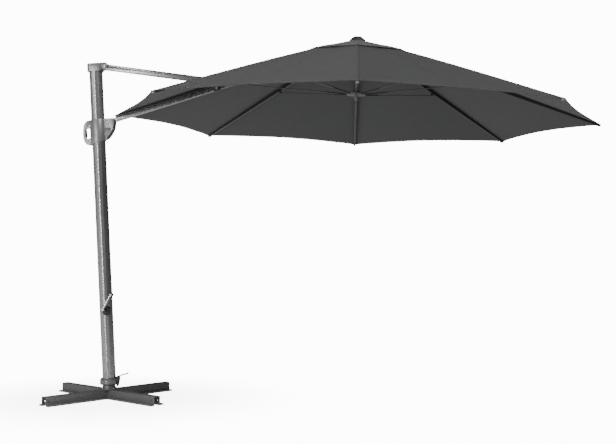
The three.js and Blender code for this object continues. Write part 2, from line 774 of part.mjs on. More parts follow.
// ---------- hub: crown, cap, pin ----------
const notch = (i) =>
  placed(
    joined(
      box(
        HINGE_RADIUS - 10,
        CROWN_RADIUS + 20,
        -crownHalfNotch,
        crownHalfNotch,
        HINGE_HEIGHT - 70,
        HINGE_HEIGHT + 70,
      ),
      rodY(TRUNNION_RADIUS + GAP, -18, 18, HINGE_RADIUS, HINGE_HEIGHT, 10),
    ),
    rotZ((360 / SIDES) * i),
  );
const tubeTop = HINGE_HEIGHT - 25.8;
const crown = cut(
  turned([
    [0, HINGE_HEIGHT - 44.8],
    [26, HINGE_HEIGHT - 44.8],
    [28, HINGE_HEIGHT - 41.8],
    [28, HINGE_HEIGHT - 19.8],
    [CROWN_RADIUS - 4, HINGE_HEIGHT - 17.8],
    [CROWN_RADIUS, HINGE_HEIGHT - 13.8],
    [CROWN_RADIUS, HINGE_HEIGHT + 1.5],
    [24, HINGE_HEIGHT + 23.5],
    [0, HINGE_HEIGHT + 23.5],
  ], 24),
  ...Array.from({ length: SIDES }, (_, i) => notch(i)),
  placed(rodY(4 + GAP, -24, 24, HINGE_RADIUS, HINGE_HEIGHT, 16), rotZ(180)),
  rodZ(TUBE_RADIUS + GAP, HINGE_HEIGHT - 50, tubeTop + GAP, 24),
);
add("hub_crown", "black", crown, hubFrame);
const hingePin = turnedY(
  [
    [0, -23.5],
    [4, -23.5],
    [4, 23.5],
    [0, 23.5],
  ],
  -HINGE_RADIUS,
  HINGE_HEIGHT,
  16,
);
add("hub_pin", "zinc", hingePin, hubFrame);

const fabricTop = (r) => CANOPY_RISE - r * Math.tan(RIB_SLOPE * RAD) + FABRIC_LIFT + FABRIC_THICKNESS + 0.15;
const cap = turned([
  [0, HINGE_HEIGHT + 23.5 + GAP],
  [20, HINGE_HEIGHT + 23.5 + GAP],
  [20, fabricTop(20) + GAP],
  [CAP_RADIUS - 2, fabricTop(CAP_RADIUS - 2) + GAP],
  [CAP_RADIUS, fabricTop(CAP_RADIUS) + 1.5],
  [CAP_RADIUS, CANOPY_RISE - 4],
  [CAP_RADIUS - 6, CANOPY_RISE + 9],
  [CAP_RADIUS - 20, CANOPY_RISE + 20],
  [12, CANOPY_RISE + 25],
  [0, CANOPY_RISE + 26],
]);
add("hub_cap", "black", cap, hubFrame);

// ---------- runner ----------
const runnerSlot = (i) =>
  placed(
    joined(
      box(30, RUNNER_RADIUS + 10, -3.5, 3.5, RUNNER_HINGE_HEIGHT - 90, RUNNER_HINGE_HEIGHT + 70),
      rodY(
        2.5 + GAP,
        -AXLE_HALF_LENGTH - 0.5,
        AXLE_HALF_LENGTH + 0.5,
        RUNNER_HINGE_RADIUS,
        RUNNER_HINGE_HEIGHT,
        10,
      ),
    ),
    rotZ((360 / SIDES) * i),
  );
const runner = cut(
  turned([
    [0, RUNNER_HINGE_HEIGHT - 44],
    [13, RUNNER_HINGE_HEIGHT - 44],
    [16, RUNNER_HINGE_HEIGHT - 40],
    [18, RUNNER_HINGE_HEIGHT - 16],
    [26, RUNNER_HINGE_HEIGHT - 12],
    [RUNNER_RADIUS - 3, RUNNER_HINGE_HEIGHT - 9],
    [RUNNER_RADIUS, RUNNER_HINGE_HEIGHT - 5],
    [RUNNER_RADIUS, RUNNER_HINGE_HEIGHT + 6],
    [RUNNER_RADIUS - 4, RUNNER_HINGE_HEIGHT + 9],
    [26, RUNNER_HINGE_HEIGHT + 12],
    [20, RUNNER_HINGE_HEIGHT + 16],
    [18, RUNNER_HINGE_HEIGHT + 26],
    [0, RUNNER_HINGE_HEIGHT + 26],
  ], 24),
  ...Array.from({ length: SIDES }, (_, i) => runnerSlot(i)),
  rodZ(TUBE_RADIUS + GAP, RUNNER_HINGE_HEIGHT - 8, RUNNER_HINGE_HEIGHT + 40, 24),
);
add("runner", "black", runner, hubFrame);
const tubeInner = circle(TUBE_RADIUS - 1.5, 24);
const runnerTube = alongZ(circle(TUBE_RADIUS, 24), RUNNER_HINGE_HEIGHT - 8 + GAP, tubeTop, [tubeInner]);
add("runner_tube", "silver", runnerTube, hubFrame);

// ---------- ribs ----------
const ribHalfW = RIB_WIDTH / 2;
const ribHalfD = RIB_DEPTH / 2;
const ribTip = RIB_LENGTH - 12;
function ribSolid(overArm) {
  const start = overArm ? 50 : 22;
  const inner = rectangle(RIB_WALL - ribHalfW, ribHalfW - RIB_WALL, RIB_WALL - ribHalfD, ribHalfD - RIB_WALL);
  const tube = alongX(
    rectangle(-ribHalfW, ribHalfW, -ribHalfD, ribHalfD),
    start,
    ribTip,
    [inner],
  );
  if (overArm) return tube;
  const root = joined(
    alongY(capsule([0, 0], [24, 0], ribHalfD, 4), -ribHalfW, ribHalfW),
    box(4, 24, -ribHalfW, ribHalfW, -ribHalfD, ribHalfD),
    rodY(TRUNNION_RADIUS, -17.5, 17.5, 0, 0, 10),
  );
  const ears = [-1, 1].map((side) => {
    const [y0, y1] = side > 0 ? [ribHalfW - 0.4, ribHalfW + 2] : [-ribHalfW - 2, 0.4 - ribHalfW];
    return joined(
      alongY(circle(7, 10, STRETCHER_ALONG, -STRETCHER_DROP), y0, y1),
      box(STRETCHER_ALONG - 7, STRETCHER_ALONG + 7, y0, y1, -STRETCHER_DROP, 2),
    );
  });
  return cut(
    joined(tube, root, ...ears),
    rodY(TRUNNION_RADIUS + GAP, -14, 14, STRETCHER_ALONG, -STRETCHER_DROP, 10),
  );
}
const NAMES = ["right", "far_right", "far", "far_left", "left", "near_left", "near", "near_right"];
const OVER_ARM = 4;
NAMES.forEach((name, i) => add(`rib_${name}`, "ribGrey", ribSolid(i === OVER_ARM), ribFrame(i)));

// ---------- stretchers ----------
function stretcherSolid(length, earInner) {
  const half = STRETCHER_THICKNESS / 2;
  const flatStart = length - TONGUE_LENGTH;
  return joined(
    box(0, flatStart + 4, -STRETCHER_WIDTH / 2, STRETCHER_WIDTH / 2, -half, half),
    rodY(5.5, -STRETCHER_WIDTH / 2, STRETCHER_WIDTH / 2, 0, 0, 10),
    rodY(TRUNNION_RADIUS, -earInner, earInner, 0, 0, 10),
    alongY(capsule([flatStart, 0], [length, 0], 4.5, 4), -2.5, 2.5),
    rodY(2.5, -AXLE_HALF_LENGTH, AXLE_HALF_LENGTH, length, 0, 10),
  );
}
NAMES.forEach((name, i) => {
  const overArm = i === OVER_ARM;
  const ends = overArm
    ? stretcherEnds(ARM_STRETCHER_DROP, armStretcherAlong)
    : stretcherEnds(STRETCHER_DROP, STRETCHER_ALONG);
  const frame = chain(sideFrame(i), move(ends.outerR, 0, ends.outerH), rotY(180 - ends.rise));
  add(`stretcher_${name}`, "ribGrey", stretcherSolid(ends.length, overArm ? 10.7 : ribHalfW + 2), frame);
});

// ---------- fabric ----------
// The underside's height over the hub plane at a distance from the axis and an angle from the rib.
function underside(radius, delta) {
  const across = radius * Math.cos((HALF_SIDE - Math.abs(delta)) * RAD);
  const sag = FABRIC_SAG * (radius / HEM_RADIUS) * Math.sin((Math.PI / 2) * (Math.abs(delta) / HALF_SIDE));
  return CANOPY_RISE * (1 - across / HEM_RADIUS) + FABRIC_LIFT / Math.cos(RIB_SLOPE * RAD) - sag;
}
function hemRadius(delta) {
  const straight = HEM_RADIUS / Math.cos((HALF_SIDE - Math.abs(delta)) * RAD);
  return straight - HEM_CONCAVITY * Math.sin((Math.PI / 2) * (Math.abs(delta) / HALF_SIDE));
}

// A closed sheet between two edges, each a radius at an angle, lifted by a function of the radius.
function sheet(innerEdge, outerEdge, lift, rows, columns, thickness = FABRIC_THICKNESS) {
  const positions = [];
  const index = [];
  for (const layer of [0, 1]) {
    for (let r = 0; r <= rows; r++) {
      for (let c = 0; c <= columns; c++) {
        const share = (2 * c) / columns - 1;
        const nominal = share * HALF_SIDE;
        const radius = innerEdge(nominal) + ((outerEdge(nominal) - innerEdge(nominal)) * r) / rows;
        const delta = share * (HALF_SIDE - (GAP / 2 + 0.02) / radius / RAD);
        const height = underside(radius, delta) + lift(radius) + layer * thickness;
        positions.push(radius * Math.cos(delta * RAD), radius * Math.sin(delta * RAD), height);
      }
    }
  }
  const at = (layer, r, c) => layer * (rows + 1) * (columns + 1) + r * (columns + 1) + c;
  const quad = (a, b, c, d) => index.push(a, b, c, a, c, d);
  for (let r = 0; r < rows; r++) {
    for (let c = 0; c < columns; c++) {
      quad(at(1, r, c), at(1, r + 1, c), at(1, r + 1, c + 1), at(1, r, c + 1));
      quad(at(0, r, c), at(0, r, c + 1), at(0, r + 1, c + 1), at(0, r + 1, c));
    }
  }
  for (let r = 0; r < rows; r++) {
    quad(at(0, r, 0), at(0, r + 1, 0), at(1, r + 1, 0), at(1, r, 0));
    quad(at(0, r + 1, columns), at(0, r, columns), at(1, r, columns), at(1, r + 1, columns));
  }
  for (let c = 0; c < columns; c++) {
    quad(at(0, 0, c + 1), at(0, 0, c), at(1, 0, c), at(1, 0, c + 1));
    quad(at(0, rows, c), at(0, rows, c + 1), at(1, rows, c + 1), at(1, rows, c));
  }
  const geometry = new THREE.BufferGeometry();
  geometry.setAttribute("position", new THREE.BufferAttribute(new Float32Array(positions), 3));
  geometry.setIndex(index);
  return solid(geometry);
}

const constant = (value) => () => value;
const ventLift = (radius) => {
  const share = Math.min(1, Math.max(0, (radius - 200) / (VENT_JOIN_RADIUS - 200)));
  return VENT_LIFT * share * share * (3 - 2 * share);
};
const webEdge = VENT_JOIN_RADIUS + 8;
const gore = joined(
  sheet(constant(VENT_JOIN_RADIUS), hemRadius, constant(0), 3, 6),
  sheet(constant(FABRIC_INNER_RADIUS), constant(VENT_RADIUS), ventLift, 3, 6),
  sheet(constant(VENT_JOIN_RADIUS + 1), constant(webEdge), constant(0.5), 1, 6, VENT_LIFT),
);
const strutOpening = placed(
  box(LINK_LENGTH - 45, LINK_LENGTH + 155, -42, 42, armHalfD + 4, armHalfD + 60),
  armFrame,
);
NAMES.forEach((name, i) => {
  const piece = placed(gore, sideFrame(i));
  add(`fabric_${name}`, "fabric", i === OVER_ARM ? cut(piece, strutOpening) : piece);
});

export default root;
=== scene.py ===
import math
from math import cos, pi, radians, sin, tan

import bpy
from mathutils import Matrix, Vector, noise


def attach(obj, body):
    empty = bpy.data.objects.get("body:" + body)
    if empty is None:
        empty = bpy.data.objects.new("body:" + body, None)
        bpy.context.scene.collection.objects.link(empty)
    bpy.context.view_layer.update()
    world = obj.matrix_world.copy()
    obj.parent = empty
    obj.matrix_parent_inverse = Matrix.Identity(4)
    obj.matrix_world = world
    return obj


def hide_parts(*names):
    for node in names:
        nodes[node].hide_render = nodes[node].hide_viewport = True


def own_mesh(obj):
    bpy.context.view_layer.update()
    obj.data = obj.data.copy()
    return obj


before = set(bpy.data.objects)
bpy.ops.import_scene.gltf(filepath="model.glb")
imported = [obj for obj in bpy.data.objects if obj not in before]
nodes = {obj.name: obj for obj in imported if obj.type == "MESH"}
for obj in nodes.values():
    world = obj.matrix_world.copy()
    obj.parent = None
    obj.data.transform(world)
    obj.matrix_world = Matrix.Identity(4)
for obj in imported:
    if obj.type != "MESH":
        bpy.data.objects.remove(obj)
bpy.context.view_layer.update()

collection = bpy.context.scene.collection

# ---------- sizes, in metres and degrees, the same as the CAD's ----------
GAP = 0.0003
CLOTH = 0.0011
LINK = 0.830
LINK_ANGLE = 14.2
MAST_LEAN = 2.8
ARM_SLOPE = MAST_LEAN + LINK_ANGLE
TOP_PIVOT = 2.305
PIVOT_OFFSET = 0.076
SLIDER_PIVOT = TOP_PIVOT - 2 * LINK * sin(radians(LINK_ANGLE))
MAST_RADIUS = 0.0485
CANOPY_RADIUS = 1.750
RIB_SLOPE = 18.4
HALF = radians(22.5)
SLOPE = radians(RIB_SLOPE)
CANOPY_RISE = CANOPY_RADIUS * tan(SLOPE)
HEM_RADIUS = CANOPY_RADIUS * cos(HALF)
HINGE_RADIUS = 0.075
RIB_DEPTH = 0.014
FABRIC_LIFT = 0.002
HINGE_HEIGHT = CANOPY_RISE - HINGE_RADIUS * tan(SLOPE) - RIB_DEPTH / 2 / cos(SLOPE)
RIB_LENGTH = (CANOPY_RADIUS - HINGE_RADIUS - (RIB_DEPTH / 2 + FABRIC_LIFT) * sin(SLOPE)) / cos(SLOPE)
LEFT_TIP = 0.060
ARM_HINGE = LEFT_TIP + RIB_LENGTH
ARM_HALF_DEPTH = 0.016
RIB_ABOVE_ARM = ARM_HALF_DEPTH + GAP + RIB_DEPTH / 2
MAST_FOOT = (0.004, 0, 0.1)
CRANK_HEIGHT = 0.543


def T(x, y, z):
    return Matrix.Translation((x, y, z))


def RY(deg):
    return Matrix.Rotation(radians(deg), 4, "Y")


def RZ(deg):
    return Matrix.Rotation(radians(deg), 4, "Z")


mast = T(*MAST_FOOT) @ RY(-MAST_LEAN)
arm = mast @ T(PIVOT_OFFSET, 0, SLIDER_PIVOT) @ RY(-LINK_ANGLE)
slider = mast @ T(0, 0, SLIDER_PIVOT)
crank = mast @ T(0, 0, CRANK_HEIGHT)
in_world = arm @ Vector((ARM_HINGE, 0, RIB_ABOVE_ARM))
in_hub = RY(RIB_SLOPE - ARM_SLOPE) @ Vector((-HINGE_RADIUS, 0, HINGE_HEIGHT))
hub = T(in_world.x - in_hub.x, 0, in_world.z - in_hub.z) @ RY(RIB_SLOPE - ARM_SLOPE)
NAMES = ["right", "far_right", "far", "far_left", "left", "near_left", "near", "near_right"]
SIDES = ((-1, "near"), (1, "far"))
FACING = {-1: Matrix.Identity(4), 1: RZ(180)}


def side(i):
    return hub @ RZ(45 * i)


def rib(i):
    return side(i) @ T(HINGE_RADIUS, 0, HINGE_HEIGHT) @ RY(RIB_SLOPE)


# ---------- camera ----------
camera = bpy.data.objects.new("camera", bpy.data.cameras.new("camera"))
collection.objects.link(camera)
camera.data.sensor_width = 36
camera.data.lens = 59.66
camera.location = (1.745, -7.3449, 1.0873)
camera.rotation_euler = (radians(91.43), 0, radians(2.37))
bpy.context.scene.camera = camera


# ---------- materials ----------
class Look:
    """A procedural material on one Principled shader."""

    def __init__(self, name, **fixed):
        self.mat = bpy.data.materials.new(name)
        self.mat.use_nodes = True
        self.tree = self.mat.node_tree
        self.tree.nodes.clear()
        self.out = self.node("ShaderNodeOutputMaterial")
        self.bsdf = self.node("ShaderNodeBsdfPrincipled")
        self.link(self.bsdf.outputs[0], self.out.inputs[0])
        for key, value in fixed.items():
            self.bsdf.inputs[key.replace("_", " ")].default_value = value
        self.coord = self.node("ShaderNodeTexCoord")
        self.height = None

    def node(self, kind, **props):
        made = self.tree.nodes.new(kind)
        for key, value in props.items():
            setattr(made, key, value)
        return made

    def link(self, a, b):
        self.tree.links.new(a, b)

    def scaled(self, scale, source="Object", turn=0.0):
        start = self.coord.outputs[source]
        if turn:
            r = self.node("ShaderNodeMapping")
            r.inputs["Rotation"].default_value = (0, radians(turn), 0)
            self.link(start, r.inputs["Vector"])
            start = r.outputs[0]
        m = self.node("ShaderNodeMapping")
        m.inputs["Scale"].default_value = scale
        self.link(start, m.inputs["Vector"])
        return m.outputs[0]

    def noise(self, scale, detail=3.0, stretch=(1, 1, 1), source="Object", rough=0.5, turn=0.0):
        n = self.node("ShaderNodeTexNoise")
        n.inputs["Scale"].default_value = scale
        n.inputs["Detail"].default_value = detail
        n.inputs["Roughness"].default_value = rough
        self.link(self.scaled(stretch, source, turn), n.inputs["Vector"])
        return n.outputs["Fac"]

    def ramp(self, value, low, high, a=0.0, b=1.0):
        r = self.node("ShaderNodeMapRange", clamp=True)
        r.inputs["From Min"].default_value = low
        r.inputs["From Max"].default_value = high
        r.inputs["To Min"].default_value = a
        r.inputs["To Max"].default_value = b
        self.link(value, r.inputs["Value"])
        return r.outputs["Result"]

    def math(self, op, a, b=None):
        m = self.node("ShaderNodeMath", operation=op)
        for k, v in enumerate((a, b)):
            if v is None:
                continue
            if isinstance(v, (int, float)):
                m.inputs[k].default_value = v
            else:
                self.link(v, m.inputs[k])
        return m.outputs[0]

    def mix(self, fac, a, b):
        m = self.node("ShaderNodeMix", data_type="RGBA")
        for k, v in ((0, fac), (6, a), (7, b)):
            if isinstance(v, (int, float)):
                m.inputs[k].default_value = v
            elif isinstance(v, (tuple, list)):
                m.inputs[k].default_value = (*v, 1) if len(v) == 3 else v
            else:
                self.link(v, m.inputs[k])
        return m.outputs[2]

    def bump(self, value, strength, distance):
        b = self.node("ShaderNodeBump")
        b.inputs["Strength"].default_value = strength
        b.inputs["Distance"].default_value = distance
        self.link(value, b.inputs["Height"])
        if self.height is not None:
            self.link(self.height, b.inputs["Normal"])
        self.height = b.outputs[0]
        self.link(self.height, self.bsdf.inputs["Normal"])

    def wave(self, value, period):
        return self.math("SINE", self.math("MULTIPLY", value, 2 * pi / period))

    def close_to(self, value, at, reach):
        """1 where a value is at a number, falling to 0 at a distance from it."""
        off = self.math("ABSOLUTE", self.math("SUBTRACT", value, at))
        return self.ramp(off, 0.0, reach, 1.0, 0.0)

    def worn(self, low=0.53, high=0.60):
        """Broken patches along outward edges."""
        g = self.node("ShaderNodeNewGeometry")
        broken = self.ramp(self.noise(55, 4), 0.42, 0.62)
        return self.math("MULTIPLY", self.ramp(g.outputs["Pointiness"], low, high), broken)

    def color(self, socket):
        self.link(socket, self.bsdf.inputs["Base Color"])

    def rough(self, socket):
        self.link(socket, self.bsdf.inputs["Roughness"])


def grey(v, warm=0.0):
    return (v * (1 + warm), v, v * (1 - warm))


def anodised(name, tone, along=(260, 260, 2.5), turn=0.0, canopy_shade_painted=False):
    """Drawn aluminium with fine lines. One can get painted shade for the canopy's shadow, darkening along
    X, towards the hub.
    """
    k = Look(name, Metallic=0.8)
    lines = k.noise(1.0, 3, along, turn=turn)
    blotch = k.noise(3.0, 2)
    c = k.mix(k.ramp(lines, 0.35, 0.65), grey(tone * 0.96, -0.01), grey(tone * 1.04, -0.01))
    if canopy_shade_painted:
        # painted shade: the canopy's shadow on the arm, darker along X towards the hub
        x = k.node("ShaderNodeSeparateXYZ")
        k.link(k.coord.outputs["Object"], x.inputs[0])
        c = k.mix(k.ramp(x.outputs["X"], 0.30, 0.75), c, grey(tone * 0.30))
    c = k.mix(k.ramp(blotch, 0.3, 0.7, 0.0, 0.12), c, grey(tone * 0.86))
    c = k.mix(k.math("MULTIPLY", k.worn(), 0.5), c, grey(min(0.7, tone * 1.8)))
    k.color(c)
    k.rough(k.math("ADD", k.ramp(lines, 0.3, 0.7, 0.20, 0.29), k.ramp(blotch, 0.3, 0.7, 0.0, 0.05)))
    k.bump(lines, 0.03, 0.0004)
    return k.mat


def coated(name, tone, rough=0.5, grain=900, wear=0.5, metal=0.25, dust=0.0, strength=0.18):
    """Powder coat or moulding, with grain, wear and dust near the ground."""
    k = Look(name, Metallic=metal)
    fine = k.noise(grain, 2)
    blotch = k.noise(7.0, 3)
    c = k.mix(k.ramp(blotch, 0.3, 0.7), grey(tone * 0.92), grey(tone * 1.08))
    c = k.mix(k.ramp(fine, 0.35, 0.7, 0.0, 0.22), c, grey(tone * 1.35))
    c = k.mix(k.math("MULTIPLY", k.worn(), wear), c, grey(min(0.5, tone * 2.6)))
    if dust:
        low = k.node("ShaderNodeSeparateXYZ")
        k.link(k.coord.outputs["Object"], low.inputs[0])
        near_ground = k.ramp(low.outputs["Z"], 0.0, 0.05, 1.0, 0.0)
        specks = k.ramp(k.noise(38, 5), 0.45, 0.7)
        dusty = k.math("MULTIPLY", k.math("MULTIPLY", near_ground, specks), dust)
        c = k.mix(dusty, c, grey(0.16, 0.08))
    k.color(c)
    k.rough(k.ramp(blotch, 0.25, 0.75, rough - 0.05, rough + 0.08))
    k.bump(fine, strength, 0.0003)
    return k.mat


def zinc_plated():
    k = Look("zinc_plated", Metallic=0.9)
    v = k.node("ShaderNodeTexVoronoi")
    v.inputs["Scale"].default_value = 420
    k.link(k.coord.outputs["Object"], v.inputs["Vector"])
    c = k.mix(k.ramp(v.outputs["Distance"], 0.0, 0.7), grey(0.36, 0.01), grey(0.52, 0.01))
    k.color(k.mix(k.math("MULTIPLY", k.worn(), 0.6), c, grey(0.65)))
    k.rough(k.ramp(k.noise(60, 3), 0.3, 0.7, 0.28, 0.44))
    k.bump(v.outputs["Distance"], 0.08, 0.0002)
    return k.mat


THREAD = 0.0011
STITCH = 0.0042


def woven(name, tone, band):
    """Polyester weave. UV is metres: U across from the seam over the rib, V in from the hem."""
    k = Look(name, Metallic=0.0, Sheen_Weight=0.12, Sheen_Roughness=0.5, Specular_IOR_Level=0.25)
    uv = k.coord.outputs["UV"]
    parts = k.node("ShaderNodeSeparateXYZ")
    k.link(uv, parts.inputs[0])
    u, v = parts.outputs["X"], parts.outputs["Y"]
    cloth = k.math("MULTIPLY", k.wave(u, THREAD), k.wave(v, THREAD))
    cloudy = k.noise(2.3, 4, rough=0.6)
    slub = k.noise(1.0, 2, (420, 26, 26))
    c = k.mix(k.ramp(cloudy, 0.3, 0.7), grey(tone * 0.93, -0.015), grey(tone * 1.07, -0.01))
    c = k.mix(k.ramp(slub, 0.42, 0.68, 0.0, 0.35), c, grey(tone * 1.16, -0.01))
    c = k.mix(k.ramp(cloth, -1, 1, 0.16, 0.0), c, grey(tone * 0.55))
    across = k.math("ABSOLUTE", u)
    # two rows of stitches along the seam and one along the hem
    seam_row = k.close_to(across, 0.0062, 0.0010)
    hem_row = k.close_to(v, band, 0.0010)
    seam_dashes = k.math("MULTIPLY", seam_row, k.ramp(k.wave(v, STITCH), -0.3, 0.2))
    hem_dashes = k.math("MULTIPLY", hem_row, k.ramp(k.wave(u, STITCH), -0.3, 0.2))
    stitches = k.math("MAXIMUM", seam_dashes, hem_dashes)
    c = k.mix(k.math("MULTIPLY", stitches, 0.55), c, grey(tone * 2.3))
    # painted shade: dark lines along the folded edges of the seam tape and the hem band
    seam_fold = k.ramp(across, 0.0080, 0.0105, 1.0, 0.0)
    edge = k.close_to(across, 0.0092, 0.0016)
    hem_edge = k.close_to(v, band + 0.0025, 0.0018)
    c = k.mix(k.math("MULTIPLY", k.math("MAXIMUM", edge, hem_edge), 0.45), c, grey(tone * 0.45))
    k.color(c)
    k.rough(k.ramp(cloudy, 0.3, 0.7, 0.82, 0.94))
    pucker = k.math("MULTIPLY", k.noise(1.0, 2, (60, 60, 60)), k.ramp(across, 0.01, 0.05, 1.0, 0.0))
    pull = k.math("MULTIPLY", k.noise(1.0, 2, (45, 45, 45)), k.ramp(v, 0.02, 0.09, 1.0, 0.0))
    k.bump(k.noise(4.5, 3, rough=0.45), 0.10, 0.02)
    k.bump(k.math("ADD", pucker, pull), 0.28, 0.004)
    k.bump(k.math("ADD", seam_fold, stitches), 0.35, 0.0008)
    k.bump(k.math("ADD", cloth, slub), 0.10, 0.0002)
    return k.mat


HEM_BAND = 0.026
VENT_BAND = 0.018
LOOKS = {
    "silver": anodised("anodised_silver", 0.40, turn=-MAST_LEAN),
    "arm_silver_painted_shade": anodised("anodised_arm_painted_shade", 0.36, (2.5, 260, 260), ARM_SLOPE, canopy_shade_painted=True),
    "strut_silver": anodised("anodised_strut", 0.20, (2.5, 260, 260), MAST_LEAN - LINK_ANGLE),
    "crank_silver": anodised("anodised_crank", 0.42, (30, 30, 30)),
    "silver_paint": coated("cast_silver_coat", 0.26, 0.34, 700, 0.5, 0.55),
    "grey_plastic": coated("satin_grey_moulding", 0.28, 0.34, 1100, 0.35, 0.45),
    "base_paint": coated("base_powder_coat", 0.160, 0.42, 800, 0.5, 0.3, dust=0.5),
    "zinc": zinc_plated(),
    "black": coated("black_moulding", 0.014, 0.48, 1300, 0.4, 0.0, strength=0.25),
    "cap": coated("cap_moulding", 0.042, 0.45, 1300, 0.4, 0.0, strength=0.25),
    "rib": coated("rib_powder_coat", 0.050, 0.42, 900, 0.6, 0.3),
    "tip": coated("pale_end_moulding", 0.30, 0.45, 900, 0.1, 0.0),
    "recess": coated("recess_plate", 0.13, 0.5, 1500, 0.1, 0.1),
    "fabric": woven("canopy_weave", 0.078, HEM_BAND),
    "flap": woven("flap_weave", 0.150, VENT_BAND),
}


# ---------- mesh helpers ----------
def smooth_group():
    """Faces smooth, edges sharper than an angle left sharp."""
    g = bpy.data.node_groups.new("smooth_by_angle", "GeometryNodeTree")
    g.interface.new_socket("Geometry", in_out="INPUT", socket_type="NodeSocketGeometry")
    g.interface.new_socket("Geometry", in_out="OUTPUT", socket_type="NodeSocketGeometry")
    a, b = g.nodes.new("NodeGroupInput"), g.nodes.new("NodeGroupOutput")
    faces = g.nodes.new("GeometryNodeSetShadeSmooth")
    faces.domain = "FACE"
    edges = g.nodes.new("GeometryNodeSetShadeSmooth")
    edges.domain = "EDGE"
    edges.inputs["Shade Smooth"].default_value = False
    angle = g.nodes.new("GeometryNodeInputMeshEdgeAngle")
    over = g.nodes.new("FunctionNodeCompare")
    over.operation = "GREATER_THAN"
    over.inputs[1].default_value = radians(33)
    g.links.new(a.outputs[0], faces.inputs["Geometry"])
    g.links.new(faces.outputs[0], edges.inputs["Geometry"])
    g.links.new(angle.outputs["Unsigned Angle"], over.inputs[0])
    g.links.new(over.outputs[0], edges.inputs["Selection"])
    g.links.new(edges.outputs[0], b.inputs[0])
    return g


SMOOTH = smooth_group()


def rounded(obj, width, angle=36, segments=2):
    weld = obj.modifiers.new("weld", "WELD")
    weld.merge_threshold = 2e-6
    if width:
        bevel = obj.modifiers.new("edges", "BEVEL")
        bevel.width = width
        bevel.segments = segments
        bevel.limit_method = "ANGLE"
        bevel.angle_limit = radians(angle)
        bevel.use_clamp_overlap = True
    smooth = obj.modifiers.new("smooth", "NODES")
    smooth.node_group = SMOOTH


def dress(name, look, width=0.0):
    o = nodes[name]
    o.data.materials.clear()
    o.data.materials.append(LOOKS[look])
    if "custom_normal" in o.data.attributes:
        o.data.attributes.remove(o.data.attributes["custom_normal"])
    rounded(o, width)


def piece(name, verts, faces, body, look, slot=None, place=None, width=None, stands_for=()):
    mesh = bpy.data.meshes.new(name)
    points = [Vector(p) for p in verts]
    if place is not None:
        points = [place @ p for p in points]
    mesh.from_pydata([tuple(p) for p in points], [], faces)
    mesh.materials.append(LOOKS[look])
    mesh.validate()
    mesh.update()
    o = bpy.data.objects.new(name, mesh)
    collection.objects.link(o)
    for f in mesh.polygons:
        f.use_smooth = True
    if width is not None:
        rounded(o, width)
    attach(o, body)
    if stands_for:
        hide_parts(*stands_for)
    return o


def lathe(profile, sides=48, axis="Z", squeeze=None):
    """Rings of (radius, height) about an axis, closed where the radius is 0."""
    verts, faces, rings = [], [], []
    for r, h in profile:
        ring = []
        for k in range(1 if r == 0 else sides):
            a = 2 * pi * k / sides
            rr = r * (squeeze(a, h) if squeeze else 1)
            p = (rr * cos(a), rr * sin(a), h)
            verts.append(p if axis == "Z" else (p[0], p[2], -p[1]))
            ring.append(len(verts) - 1)
        rings.append(ring)
    for a, b in zip(rings, rings[1:]):
        n = max(len(a), len(b))
        if len(a) == len(b) == 1:
            continue
        for k in range(n):
            q = [a[k % len(a)], a[(k + 1) % len(a)], b[(k + 1) % len(b)], b[k % len(b)]]
            faces.append(list(dict.fromkeys(q)))
    return verts, faces


def soft_prism(outline, y0, y1, edge=0.0015, steps=3):
    """An [x, z] outline across Y with its rims rounded over."""
    n = len(outline)
    area = 0.0
    for (ax, az), (bx, bz) in zip(outline, outline[1:] + outline[:1]):
        area += ax * bz - bx * az
    turn = 1 if area > 0 else -1
    inward = []
    for k in range(n):
        (ax, az), (bx, bz), (cx, cz) = outline[k - 1], outline[k], outline[(k + 1) % n]
        e1 = Vector((bx - ax, bz - az)).normalized()
        e2 = Vector((cx - bx, cz - bz)).normalized()
        m = Vector((-(e1.y + e2.y), e1.x + e2.x)) * turn
        m = m.normalized() / max(0.5, math.sqrt(max(0.0, (1 + e1.dot(e2)) / 2)))
        inward.append(m)
    levels = []
    for k in range(steps + 1):
        t = pi / 2 * k / steps
        levels.append((edge * (1 - sin(t)), y0 + edge * (1 - cos(t))))
    for k in range(steps, -1, -1):
        t = pi / 2 * k / steps
        levels.append((edge * (1 - sin(t)), y1 - edge * (1 - cos(t))))
    verts, faces = [], []
    for inset, y in levels:
        for (x, z), m in zip(outline, inward):
            verts.append((x + m.x * inset, y, z + m.y * inset))
    for a in range(len(levels) - 1):
        for k in range(n):
            j = (k + 1) % n
            faces.append([a * n + k, a * n + j, (a + 1) * n + j, (a + 1) * n + k])
    faces.append(list(range(n))[::-1])
    faces.append([(len(levels) - 1) * n + k for k in range(n)])
    return verts, faces


def capsule(a, b, ra, rb=None, steps=10):
    """The outline round two circles, in [x, z]."""
    rb = ra if rb is None else rb
    head = math.atan2(b[1] - a[1], b[0] - a[0])
    out = []
    for k in range(steps + 1):
        t = head - pi / 2 + pi * k / steps
        out.append((b[0] + rb * cos(t), b[1] + rb * sin(t)))
    for k in range(steps + 1):
        t = head + pi / 2 + pi * k / steps
        out.append((a[0] + ra * cos(t), a[1] + ra * sin(t)))
    return out


def on_side(s, inner, outer):
    """A span across Y on the near side (-1) or the far side (1)."""
    return (-outer, -inner) if s < 0 else (inner, outer)


def merged(*parts):
    verts, faces = [], []
    for v, f in parts:
        base = len(verts)
        verts += v
        faces += [[k + base for k in q] for q in f]
    return verts, faces


def moved(part, place):
    return [tuple(place @ Vector(p)) for p in part[0]], part[1]


